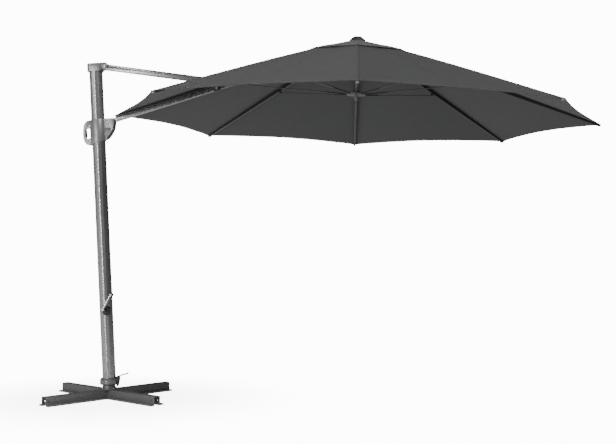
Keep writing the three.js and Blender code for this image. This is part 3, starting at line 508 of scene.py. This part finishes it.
def screw(radius, height, sides=24):
    """A domed screw head with a hexagon socket, its axis along Y towards -Y."""
    profile = [(radius, 0.0), (radius, -height * 0.45)]
    profile += [(radius * 0.86, -height * 0.85), (radius * 0.60, -height)]
    verts, faces = lathe(profile, sides, "Y")
    base = len(verts) - sides
    for depth, share in ((-height * 0.98, 0.50), (-height * 0.30, 0.48)):
        for k in range(sides):
            a = 2 * pi * k / sides
            hexed = share * radius * cos(pi / 6) / cos((a % (pi / 3)) - pi / 6)
            verts.append((hexed * cos(a), depth, -hexed * sin(a)))
    for ring in range(2):
        for k in range(sides):
            j = (k + 1) % sides
            a = base + ring * sides
            faces.append([a + k, a + j, a + sides + j, a + sides + k])
    last = base + 2 * sides
    faces.append([last + k for k in range(sides)])
    return verts, faces


# ---------- finishes on the CAD nodes that stay ----------
for name in ("base_bar", "base_leg_near", "base_leg_far", "base_plate", "base_post"):
    dress(name, "base_paint", 0.0012)
for k in range(1, 5):
    dress(f"base_bolt_{k}", "zinc", 0.0006)
for name, look, width in (
    ("swivel_collar", "silver_paint", 0.0012),
    ("mast_head", "silver_paint", 0.0022),
    ("strut_pin_top", "zinc", 0.0006),
    ("pedal_housing", "black", 0.0012),
    ("crank_housing", "black", 0.0020),
    ("crank_spindle", "zinc", 0.0006),
    ("strut_near", "strut_silver", 0.0018),
    ("strut_far", "strut_silver", 0.0018),
    ("strut_pin_low", "zinc", 0.0006),
    ("arm_tube", "arm_silver_painted_shade", 0.0),
    ("arm_knuckle", "silver_paint", 0.0012),
    ("arm_head", "black", 0.0012),
    ("arm_saddle", "black", 0.0012),
    ("slider_body", "grey_plastic", 0.0016),
    ("slider_rim", "black", 0.0008),
    ("slider_handle", "grey_plastic", 0.0040),
    ("slider_pin", "zinc", 0.0006),
    ("slider_trigger", "black", 0.0010),
    ("hub_crown", "black", 0.0008),
    ("hub_pin", "zinc", 0.0),
    ("runner", "recess", 0.0006),
    ("runner_tube", "silver", 0.0),
):
    dress(name, look, width)
for name in NAMES:
    dress(f"rib_{name}", "rib", 0.0012)
    dress(f"stretcher_{name}", "rib", 0.0008)


# ---------- mast ----------
MAST_SIDES = 192
MAST_START, MAST_END = 0.0494, 2.2706
MAST_WALL = 0.0034
FLUTES, FLUTE_DEPTH = 12, 0.0009


def flute(a, h):
    return 1 - FLUTE_DEPTH / MAST_RADIUS * (0.5 - 0.5 * cos(FLUTES * a))


heights = (MAST_START, 0.5, 1.2, 1.8, MAST_END)
shell, skin = lathe([(MAST_RADIUS, h) for h in heights], MAST_SIDES, "Z", flute)
inner = MAST_RADIUS - MAST_WALL
bore, lining = lathe([(inner, MAST_END), (inner, MAST_START)], MAST_SIDES)
top = (len(heights) - 1) * MAST_SIDES
bore_top = len(shell)
bore_foot = bore_top + MAST_SIDES
verts, faces = merged((shell, skin), (bore, lining))
for k in range(MAST_SIDES):
    j = (k + 1) % MAST_SIDES
    faces.append([top + k, top + j, bore_top + j, bore_top + k])
    faces.append([bore_foot + k, bore_foot + j, j, k])
piece("mast_profile", verts, faces, "mast", "silver", "silver", mast, 0.0, ("mast_tube",))

# casting boss rings and screws at the head
BOSS = [(0.0225, 0.0), (0.0225, 0.0012), (0.0205, 0.0026), (0.0150, 0.0030), (0.0140, 0.0006)]
BOSS_Y, HEAD_SCREW_Y = 0.0456, 0.0480
HEAD_SCREWS = ((-0.030, 0.012), (-0.030, -0.014))
for s, tag in SIDES:
    at = mast @ T(PIVOT_OFFSET, s * BOSS_Y, TOP_PIVOT) @ FACING[-s]
    boss = lathe(BOSS, 40, "Y")
    piece(f"head_boss_{tag}", *boss, "mast", "silver_paint", "silver_paint", at, 0.0)
    for n, (x, z) in enumerate(HEAD_SCREWS):
        at = mast @ T(x, s * HEAD_SCREW_Y, TOP_PIVOT + z) @ FACING[s]
        made = screw(0.0048, 0.0026)
        piece(f"head_screw_{tag}_{n + 1}", *made, "mast", "zinc", "zinc", at, 0.0)

# beads round the swivel collar
COLLAR_RADIUS = 0.0640
BEAD = 0.0015
bead_outer = COLLAR_RADIUS + BEAD
bead_profile = [(COLLAR_RADIUS, 0.0), (bead_outer, 0.0008), (bead_outer, 0.0042), (COLLAR_RADIUS, 0.0050)]
bead = lathe(bead_profile, 64)
for n, z in enumerate((0.107, 0.128)):
    piece(f"collar_bead_{n + 1}", *bead, "mast", "silver_paint", "silver_paint", T(0, 0, z), 0.0)

# ---------- slider details ----------
SLIDER_SCREWS = ((0.050, 0.012), (0.050, -0.084), (0.114, -0.052))
SLIDER_SCREW_Y = 0.0220
RECESS = (0.074, -0.052)
RECESS_HALF = (0.0145, 0.0055)
RECESS_CORNER = 0.0055


def recess_outline():
    out = []
    for c in range(4):
        x = RECESS[0] + (1 if c in (0, 3) else -1) * RECESS_HALF[0]
        z = RECESS[1] + (1 if c < 2 else -1) * RECESS_HALF[1]
        for k in range(6):
            a = radians((c + k / 5) * 90)
            out.append((x + RECESS_CORNER * cos(a), z + RECESS_CORNER * sin(a)))
    return out


for s, tag in SIDES:
    for n, (x, z) in enumerate(SLIDER_SCREWS):
        at = slider @ T(x, s * SLIDER_SCREW_Y, z) @ FACING[s]
        made = screw(0.0042, 0.0022)
        piece(f"slider_screw_{tag}_{n + 1}", *made, "slider", "zinc", "zinc", at, 0.0)
    # the darker plate at each pocket's floor is painted shade in the recess
    plate = soft_prism(recess_outline(), *on_side(s, 0.0188, 0.0194), 0.0002)
    piece(f"slider_recess_{tag}", *plate, "slider", "recess", "black", slider, 0.0)

# black trim round the cheeks' curved edge, and the pad on the trigger
TRIM_CENTRE = (PIVOT_OFFSET - 0.112, 0.005)
TRIM_OUTER, TRIM_INNER = 0.1660, 0.1560
TRIM_FROM, TRIM_TO = -49, 1


def cheek_arc(radius, start, stop, steps=24):
    out = []
    for k in range(steps + 1):
        a = radians(start + (stop - start) * k / steps)
        out.append((TRIM_CENTRE[0] + radius * cos(a), TRIM_CENTRE[1] + radius * sin(a)))
    return out


trim = cheek_arc(TRIM_OUTER, TRIM_FROM, TRIM_TO) + cheek_arc(TRIM_INNER, TRIM_TO, TRIM_FROM)
for s, tag in SIDES:
    made = soft_prism(trim, *on_side(s, 0.0221, 0.0234), 0.0005)
    piece(f"slider_trim_{tag}", *made, "slider", "black", "black", slider, 0.0)
PAD_X, PAD_RADIUS, PAD_HALF_WIDTH = -0.0873, 0.0036, 0.0086
pad_outline = capsule((PAD_X, -0.100), (PAD_X, -0.054), PAD_RADIUS)
pad = soft_prism(pad_outline, -PAD_HALF_WIDTH, PAD_HALF_WIDTH, 0.0012)
piece("trigger_pad", *pad, "trigger", "black", "black", slider, 0.0)

# ---------- crank ----------
LEVER_LENGTH, LEVER_TURN = 0.121, radians(59)
LEVER_BACK, LEVER_FRONT = -0.1042, -0.1120
GRIP_START, GRIP_LENGTH, GRIP_GROOVES = -0.1030, 0.0330, 6
crank_face = crank @ T(0, 0.046 - MAST_RADIUS, 0)
end = (LEVER_LENGTH * cos(LEVER_TURN), LEVER_LENGTH * sin(LEVER_TURN))
lever_end = T(end[0], 0, end[1])


def lever_eye(outer, face):
    """A round end of the lever, from its outer radius and that of its flat faces."""
    back = [(0, LEVER_BACK), (face, LEVER_BACK), (outer, LEVER_BACK - 0.0014)]
    front = [(outer, LEVER_FRONT + 0.0016), (face, LEVER_FRONT), (0, LEVER_FRONT)]
    return lathe((back + front)[::-1], 32, "Y")


web = soft_prism(capsule((0, 0), end, 0.0064, 0.0052), -0.1118, LEVER_BACK, 0.0022)
lever = merged(web, lever_eye(0.0112, 0.0095), moved(lever_eye(0.0102, 0.0088), lever_end))
piece("crank_lever", *lever, "crank", "crank_silver", "silver", crank_face, 0.0, ("crank_arm",))
grip = [(0, GRIP_START - 0.0007), (0.0118, GRIP_START - 0.0007)]
for k in range(25):
    t = k / 24
    swell = 0.0126 + 0.0029 * sin(pi * (0.15 + 0.75 * t))
    groove = 0.0005 * (1 - cos(2 * pi * GRIP_GROOVES * t)) / 2
    grip.append((swell - groove, GRIP_START + GRIP_LENGTH * t))
grip += [(0.0090, -0.0692), (0, -0.0690)]
made = moved(lathe(grip, 40, "Y"), lever_end)
piece("crank_grip", *made, "crank", "black", "black", crank_face, 0.0, ("crank_knob",))

# ---------- pedal ----------
PEDAL_HINGE, PEDAL_KNEE, PEDAL_TOE = (0.070, 0.152), (0.084, 0.1635), (0.138, 0.178)
TREAD_RADIUS = 0.0045
stem = soft_prism(capsule(PEDAL_HINGE, PEDAL_KNEE, 0.0042), -0.0106, 0.0106, 0.0012)
tread_outline = capsule(PEDAL_KNEE, PEDAL_TOE, TREAD_RADIUS, TREAD_RADIUS, 6)
tread = soft_prism(tread_outline, -0.0210, 0.0210, 0.0030)
axle = lathe([(0, -0.015), (0.003, -0.015), (0.003, 0.015), (0, 0.015)], 20, "Y")
parts = [stem, tread, moved(axle, T(PEDAL_HINGE[0], 0, PEDAL_HINGE[1]))]
climb = (PEDAL_TOE[1] - PEDAL_KNEE[1]) / (PEDAL_TOE[0] - PEDAL_KNEE[0])
for k in range(6):
    x = 0.091 + k * 0.0075
    z = PEDAL_KNEE[1] + (x - PEDAL_KNEE[0]) * climb + TREAD_RADIUS
    ridge = capsule((x, z), (x + 0.0012, z + 0.0003), 0.0009, None, 5)
    parts.append(soft_prism(ridge, -0.0165, 0.0165, 0.0004))
piece("pedal_tread", *merged(*parts), "pedal", "zinc", "zinc", None, 0.0, ("foot_pedal",))

# ---------- cap on the canopy ----------
BOW = 0.016


def bow_at(r):
    """How far the cloth bows up over the straight line from hub to tip."""
    return BOW * sin(pi * min(1.0, r / CANOPY_RADIUS) ** 0.7)


def top_of(r):
    """The height of the cloth's upper face, without the bow."""
    return CANOPY_RISE - r * tan(SLOPE) + FABRIC_LIFT + CLOTH + 0.00015


def lobes(a, h):
    return 1 - 0.012 * (0.5 - 0.5 * cos(8 * a)) if h > CANOPY_RISE - 0.012 else 1.0


CAP_RADIUS = 0.058
CAP_LIFT = bow_at(CAP_RADIUS)
cap_edge = top_of(CAP_RADIUS) + CAP_LIFT
cap_foot = HINGE_HEIGHT + 0.0238
cap = [
    (0, cap_foot),
    (0.020, cap_foot),
    (0.020, top_of(0.020) + CAP_LIFT),
    (CAP_RADIUS - 0.002, cap_edge + 0.001),
    (CAP_RADIUS, cap_edge + 0.0025),
    (CAP_RADIUS, cap_edge + 0.008),
    (CAP_RADIUS - 0.001, cap_edge + 0.0105),
    (0.0530, cap_edge + 0.0155),
    (0.0440, cap_edge + 0.0240),
]
for radius, lift in (
    (0.0375, 0.0160), (0.0340, 0.0200), (0.0300, 0.0228), (0.0240, 0.0240), (0.0150, 0.0243),
    (0.0135, 0.0238), (0.0120, 0.0243), (0.0060, 0.0256), (0, 0.0260),
):
    cap.append((radius, CANOPY_RISE + lift))
piece("cap_dome", *lathe(cap, 96, "Z", lobes), "hub", "cap", "black", hub, 0.0, ("hub_cap",))


# ---------- canopy ----------
MAIN_START = 0.300
VENT_RADIUS = 0.425


def underside(r, d):
    """The cloth's lower face at a radius and an angle from the rib."""
    across = r * cos(HALF - abs(d))
    sag = 0.005 * (r / HEM_RADIUS) * sin(pi / 2 * abs(d) / HALF)
    flat = CANOPY_RISE * (1 - across / HEM_RADIUS) + FABRIC_LIFT / cos(SLOPE)
    return flat - sag + bow_at(r)


def smoothstep(t):
    t = min(1.0, max(0.0, t))
    return t * t * (3 - 2 * t)


def hem_at(d):
    """The main hem's radius: hollow between the ribs, pointed at them."""
    tip = 0.007 * math.exp(-((abs(d) / radians(1.6)) ** 2))
    return HEM_RADIUS / cos(HALF - abs(d)) - 0.045 * sin(pi / 2 * abs(d) / HALF) + tip


def vent_hem(d):
    return VENT_RADIUS - 0.004 * sin(pi / 2 * abs(d) / HALF)


def seam_lift(r, d):
    return 0.0006 * smoothstep((0.0105 - abs(r * sin(d))) / 0.002)


def main_height(r, d):
    band = 0.0007 * smoothstep((HEM_BAND + 0.003 - (hem_at(d) - r)) / 0.002)
    return underside(r, d) + CLOTH + seam_lift(r, d) + band


def vent_height(r, d):
    lift = 0.0062 * smoothstep((r - 0.200) / 0.145)
    billow = 0.0045 * smoothstep((r - 0.18) / 0.20) * sin(pi / 2 * abs(d) / HALF) ** 2
    band = 0.0006 * smoothstep((VENT_BAND + 0.003 - (vent_hem(d) - r)) / 0.002)
    return underside(r, d) + 0.0013 + lift + billow + seam_lift(r, d) + band


SEAM_COLUMNS = (0.0, 0.0050, 0.0080, 0.0100)
SPREAD = 11


def angles(r, extra=()):
    """Angles from the rib at one radius: fixed distances by the seam, then an even
    spread, with a narrow last column."""
    near = [*SEAM_COLUMNS, *extra]
    half_width = r * HALF
    if near[-1] > 0.8 * half_width:
        scale = 0.8 * half_width / near[-1]
        near = [m * scale for m in near]
    start, stop = near[-1] / r, HALF - min(0.004, 0.05 * half_width) / r
    rest = [start + (stop - start) * k / SPREAD for k in range(1, SPREAD + 1)]
    one = [m / r for m in near] + rest + [HALF]
    return [-a for a in reversed(one[1:])] + one


def gore(i, rows, height, hem, extra=(), hole=None):
    """A sheet over one rib. Each row is a function that gives a radius for an angle."""
    verts, uvs, grid = [], [], []
    place = side(i)
    for row in rows:
        line = []
        guess = row(0.0)
        for a in angles(guess, extra):
            r = row(a)
            z = height(r, a)
            window = (1 - abs(a / HALF) ** 6) * smoothstep((r * abs(a)) / 0.06)
            world = place @ Vector((r * cos(a), r * sin(a), z))
            z += 0.0016 * window * noise.noise(world * 3.1 + Vector((7, 3, 1)))
            z += 0.0007 * window * noise.noise(world * 9.0 + Vector((2, 9, 4)))
            verts.append(place @ Vector((r * cos(a), r * sin(a), z)))
            uvs.append((r * sin(a), max(0.0, (hem(a) - r) / cos(SLOPE))))
            line.append(len(verts) - 1)
        grid.append(line)
    faces = []
    for p in range(len(grid) - 1):
        for q in range(len(grid[0]) - 1):
            if hole and hole(p, q, len(grid[0]) - 1):
                continue
            faces.append([grid[p][q], grid[p + 1][q], grid[p + 1][q + 1], grid[p][q + 1]])
    return verts, uvs, faces


def cloth(name, made, look):
    verts, uvs, faces = made
    mesh = bpy.data.meshes.new(name)
    mesh.from_pydata([tuple(p) for p in verts], [], faces)
    mesh.materials.append(LOOKS[look])
    layer = mesh.uv_layers.new(name="metres")
    for loop in mesh.loops:
        layer.data[loop.index].uv = uvs[loop.vertex_index]
    for f in mesh.polygons:
        f.use_smooth = True
    mesh.update()
    o = bpy.data.objects.new(name, mesh)
    collection.objects.link(o)
    thick = o.modifiers.new("cloth", "SOLIDIFY")
    thick.thickness = 0.0010
    thick.offset = -1.0
    thick.use_even_offset = False
    return o


def lay(name, i, made, look, body):
    """Makes one sheet of the canopy on a body, in place of the CAD sheet it hides."""
    o = cloth(name, made, look)
    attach(o, body)
    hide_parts(f"fabric_{NAMES[i]}")
    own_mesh(o)


# the opening for the strut, and the rows of the sheets
OPEN_IN, OPEN_OUT, OPEN_HALF = 0.8695, 1.0593, 0.042
LAST_FIXED = 1.130
FIXED = [
    MAIN_START, 0.330, 0.345, 0.385, 0.425, 0.480, 0.545, 0.620, 0.700, 0.780,
    OPEN_IN, 0.930, 0.995, OPEN_OUT, LAST_FIXED,
]
BAND_START = 0.034
main_rows = [lambda a, r=r: r for r in FIXED]
for share in (0.17, 0.34, 0.50, 0.66, 0.82, 0.93):
    main_rows.append(lambda a, s=share: LAST_FIXED + (hem_at(a) - BAND_START - LAST_FIXED) * s)
for inset in (BAND_START, HEM_BAND + 0.003, HEM_BAND + 0.001, 0.013, 0.002, 0.0):
    main_rows.append(lambda a, d=inset: hem_at(a) - d)
VENT_FIXED = (0.027, 0.045, 0.070, 0.105, 0.145, 0.190, 0.235, 0.280, 0.325, 0.365)
vent_rows = [lambda a, r=r: r for r in VENT_FIXED]
for inset in (0.028, VENT_BAND + 0.003, VENT_BAND + 0.001, 0.010, 0.002, 0.0):
    vent_rows.append(lambda a, d=inset: vent_hem(a) - d)
OPENING_COLUMNS = (0.022, OPEN_HALF)


def in_opening(p, q, n):
    """Whether the face in row p and column q of n is in the opening."""
    columns = len(SEAM_COLUMNS) + len(OPENING_COLUMNS) - 1
    return FIXED.index(OPEN_IN) <= p < FIXED.index(OPEN_OUT) and abs(q + 0.5 - n / 2) < columns


BATTEN_STEPS, BATTEN_HALF_WIDTH = 32, 0.0070
for i, name in enumerate(NAMES):
    over = name == "left"
    body = "arm" if over else f"rib_{name}"
    made = gore(i, main_rows, main_height, hem_at, OPENING_COLUMNS, in_opening if over else None)
    lay(f"canopy_{name}", i, made, "fabric", body)
    made = gore(i, vent_rows, vent_height, vent_hem)
    lay(f"vent_{name}", i, made, "flap", body)

    # bowed batten that carries the cloth on the straight rib
    start, stop = 0.060 if over else 0.010, RIB_LENGTH - 0.020
    levels = []
    for k in range(BATTEN_STEPS + 1):
        x = start + (stop - start) * k / BATTEN_STEPS
        radius = HINGE_RADIUS + x * cos(SLOPE)
        lift = FABRIC_LIFT * 0.4 + bow_at(radius) * cos(SLOPE) - 0.0012
        levels.append((x, RIB_DEPTH / 2 + max(0.0004, lift)))
    batten = [(x, RIB_DEPTH / 2 + 0.0001) for x, _ in levels] + levels[::-1]
    strip = soft_prism(batten, -BATTEN_HALF_WIDTH, BATTEN_HALF_WIDTH, 0.0001, 1)
    piece(f"rib_batten_{name}", *strip, body, "rib", "rib", rib(i), 0.0)

    # moulded end on the rib, and rivets where the stretcher joins
    tip = []
    for back, z in (
        (0.016, -0.0076), (0.005, -0.0076), (0.001, -0.0040),
        (0.001, 0.0050), (0.005, 0.0074), (0.016, 0.0074),
    ):
        tip.append((RIB_LENGTH - back, z))
    tip = soft_prism(tip, -0.0096, 0.0096, 0.0014)
    piece(f"rib_end_{name}", *tip, body, "tip", "grey_plastic", rib(i), 0.0)
    if not over:
        for s, letter in ((-1, "a"), (1, "b")):
            at = rib(i) @ T(0.810, s * 0.0112, -0.016) @ FACING[s]
            made = screw(0.0045, 0.0018, 18)
            piece(f"rib_rivet_{name}_{letter}", *made, body, "zinc", "zinc", at, 0.0)

# bound edge round the opening for the strut
BINDING, BINDING_RISE = 0.010, 0.0022
EDGE = 1e-6
place = side(NAMES.index("left"))


def on_cloth(r, y):
    a = math.asin(max(-1, min(1, y / r)))
    return place @ Vector((r * cos(a), r * sin(a), underside(r, a) + 0.0018))


loop = []
for k in range(9):
    loop.append((OPEN_IN, -OPEN_HALF + 2 * OPEN_HALF * k / 8))
for k in range(1, 13):
    loop.append((OPEN_IN + (OPEN_OUT - OPEN_IN) * k / 12, OPEN_HALF))
for k in range(1, 9):
    loop.append((OPEN_OUT, OPEN_HALF - 2 * OPEN_HALF * k / 8))
for k in range(1, 12):
    loop.append((OPEN_OUT - (OPEN_OUT - OPEN_IN) * k / 12, -OPEN_HALF))
verts, faces = [], []
for r, y in loop:
    out_r = r + (BINDING if r >= OPEN_OUT - EDGE else -BINDING if r <= OPEN_IN + EDGE else 0)
    out_y = y + (BINDING if y >= OPEN_HALF - EDGE else -BINDING if y <= -OPEN_HALF + EDGE else 0)
    for (rr, yy), lift in (
        ((r, y), 0.0),
        ((r, y), BINDING_RISE),
        ((out_r, out_y), BINDING_RISE),
        ((out_r, out_y), 0.0004),
    ):
        verts.append(on_cloth(rr, yy) + Vector((0, 0, lift - 0.0008)))
n = len(loop)
for k in range(n):
    j = (k + 1) % n
    for c in range(4):
        d = (c + 1) % 4
        faces.append([k * 4 + c, j * 4 + c, j * 4 + d, k * 4 + d])
piece("opening_binding", verts, faces, "arm", "flap", "fabric", None, 0.0)

# ---------- floor, backdrop and light ----------
WHITE = 13.0
FLOOR_X, FLOOR_Z = 1.6, -0.0006
FLOOR_REACH, FLOOR_SIDES = 60.0, 48


def map_range(tree, source, span, to, kind="LINEAR"):
    """Maps a value's span to another, and gives the output. A span's end may be a socket."""
    m = tree.nodes.new("ShaderNodeMapRange")
    m.interpolation_type = kind
    for key, value in zip(("From Min", "From Max", "To Min", "To Max"), (*span, *to)):
        if isinstance(value, (int, float)):
            m.inputs[key].default_value = value
        else:
            tree.links.new(value, m.inputs[key])
    tree.links.new(source, m.inputs["Value"])
    return m.outputs[0]


def coordinate(tree, output):
    """The X of a texture coordinate, and the coordinate."""
    coord = tree.nodes.new("ShaderNodeTexCoord")
    split = tree.nodes.new("ShaderNodeSeparateXYZ")
    tree.links.new(coord.outputs[output], split.inputs[0])
    return split.outputs["X"], coord.outputs[output]


def camera_ray(tree):
    return tree.nodes.new("ShaderNodeLightPath").outputs["Is Camera Ray"]


def mixed(tree, share, a, b, out):
    m = tree.nodes.new("ShaderNodeMixShader")
    for source, socket in zip((share, a, b), m.inputs):
        tree.links.new(source, socket)
    tree.links.new(m.outputs[0], out.inputs[0])


def staged_floor():
    """A pale disc. Near the base it takes light and shadow; further out it glows like the
    backdrop to the camera, and dimmer towards +X to everything else."""
    verts = [(FLOOR_X, 0, FLOOR_Z)]
    faces = []
    for k in range(FLOOR_SIDES):
        a = 2 * pi * k / FLOOR_SIDES
        verts.append((FLOOR_X + FLOOR_REACH * cos(a), FLOOR_REACH * sin(a), FLOOR_Z))
        faces.append([0, 1 + k, 1 + (k + 1) % FLOOR_SIDES])
    mesh = bpy.data.meshes.new("floor")
    mesh.from_pydata(verts, [], faces)
    o = bpy.data.objects.new("floor", mesh)
    collection.objects.link(o)
    mat = bpy.data.materials.new("pale_floor")
    mat.use_nodes = True
    t = mat.node_tree
    t.nodes.clear()
    diffuse = t.nodes.new("ShaderNodeBsdfDiffuse")
    diffuse.inputs["Color"].default_value = (0.86, 0.86, 0.86, 1)
    glow = t.nodes.new("ShaderNodeEmission")
    glow.inputs["Color"].default_value = (1, 1, 1, 1)
    x, point = coordinate(t, "Object")
    unseen = map_range(t, x, (-0.5, 6.0), (0.74, 0.20))
    strength = map_range(t, camera_ray(t), (0.0, 1.0), (unseen, WHITE))
    t.links.new(strength, glow.inputs["Strength"])
    away = t.nodes.new("ShaderNodeVectorMath")
    away.operation = "LENGTH"
    t.links.new(point, away.inputs[0])
    share = map_range(t, away.outputs["Value"], (0.35, 1.6), (0.55, 1.0), "SMOOTHSTEP")
    out = t.nodes.new("ShaderNodeOutputMaterial")
    mixed(t, share, diffuse.outputs[0], glow.outputs[0], out)
    mesh.materials.append(mat)


def studio_world():
    """White to the camera, and a dim light that is stronger from -X to everything else."""
    world = bpy.data.worlds.new("studio")
    bpy.context.scene.world = world
    world.use_nodes = True
    t = world.node_tree
    t.nodes.clear()
    seen = t.nodes.new("ShaderNodeBackground")
    seen.inputs["Color"].default_value = (1, 1, 1, 1)
    seen.inputs["Strength"].default_value = WHITE
    lit = t.nodes.new("ShaderNodeBackground")
    x, _ = coordinate(t, "Generated")
    t.links.new(map_range(t, x, (-0.6, 0.9), (0.24, 0.03)), lit.inputs["Strength"])
    out = t.nodes.new("ShaderNodeOutputWorld")
    mixed(t, camera_ray(t), lit.outputs[0], seen.outputs[0], out)


staged_floor()
studio_world()


def area_light(name, at, target, size, energy, tall=None):
    data = bpy.data.lights.new(name, "AREA")
    data.shape = "RECTANGLE" if tall else "DISK"
    data.size = size
    if tall:
        data.size_y = tall
    data.energy = energy
    o = bpy.data.objects.new(name, data)
    o.visible_camera = False
    collection.objects.link(o)
    o.location = at
    o.rotation_euler = (Vector(target) - Vector(at)).to_track_quat("-Z", "Y").to_euler()


area_light("key", (6.5, -6.0, 8.5), (1.6, 0, 1.6), 4.0, 560)
area_light("fill", (-5.0, -5.5, 4.0), (0.2, 0, 1.4), 3.0, 40)
area_light("strip", (-1.9, -4.6, 1.6), (0, 0, 1.3), 0.30, 120, 3.4)
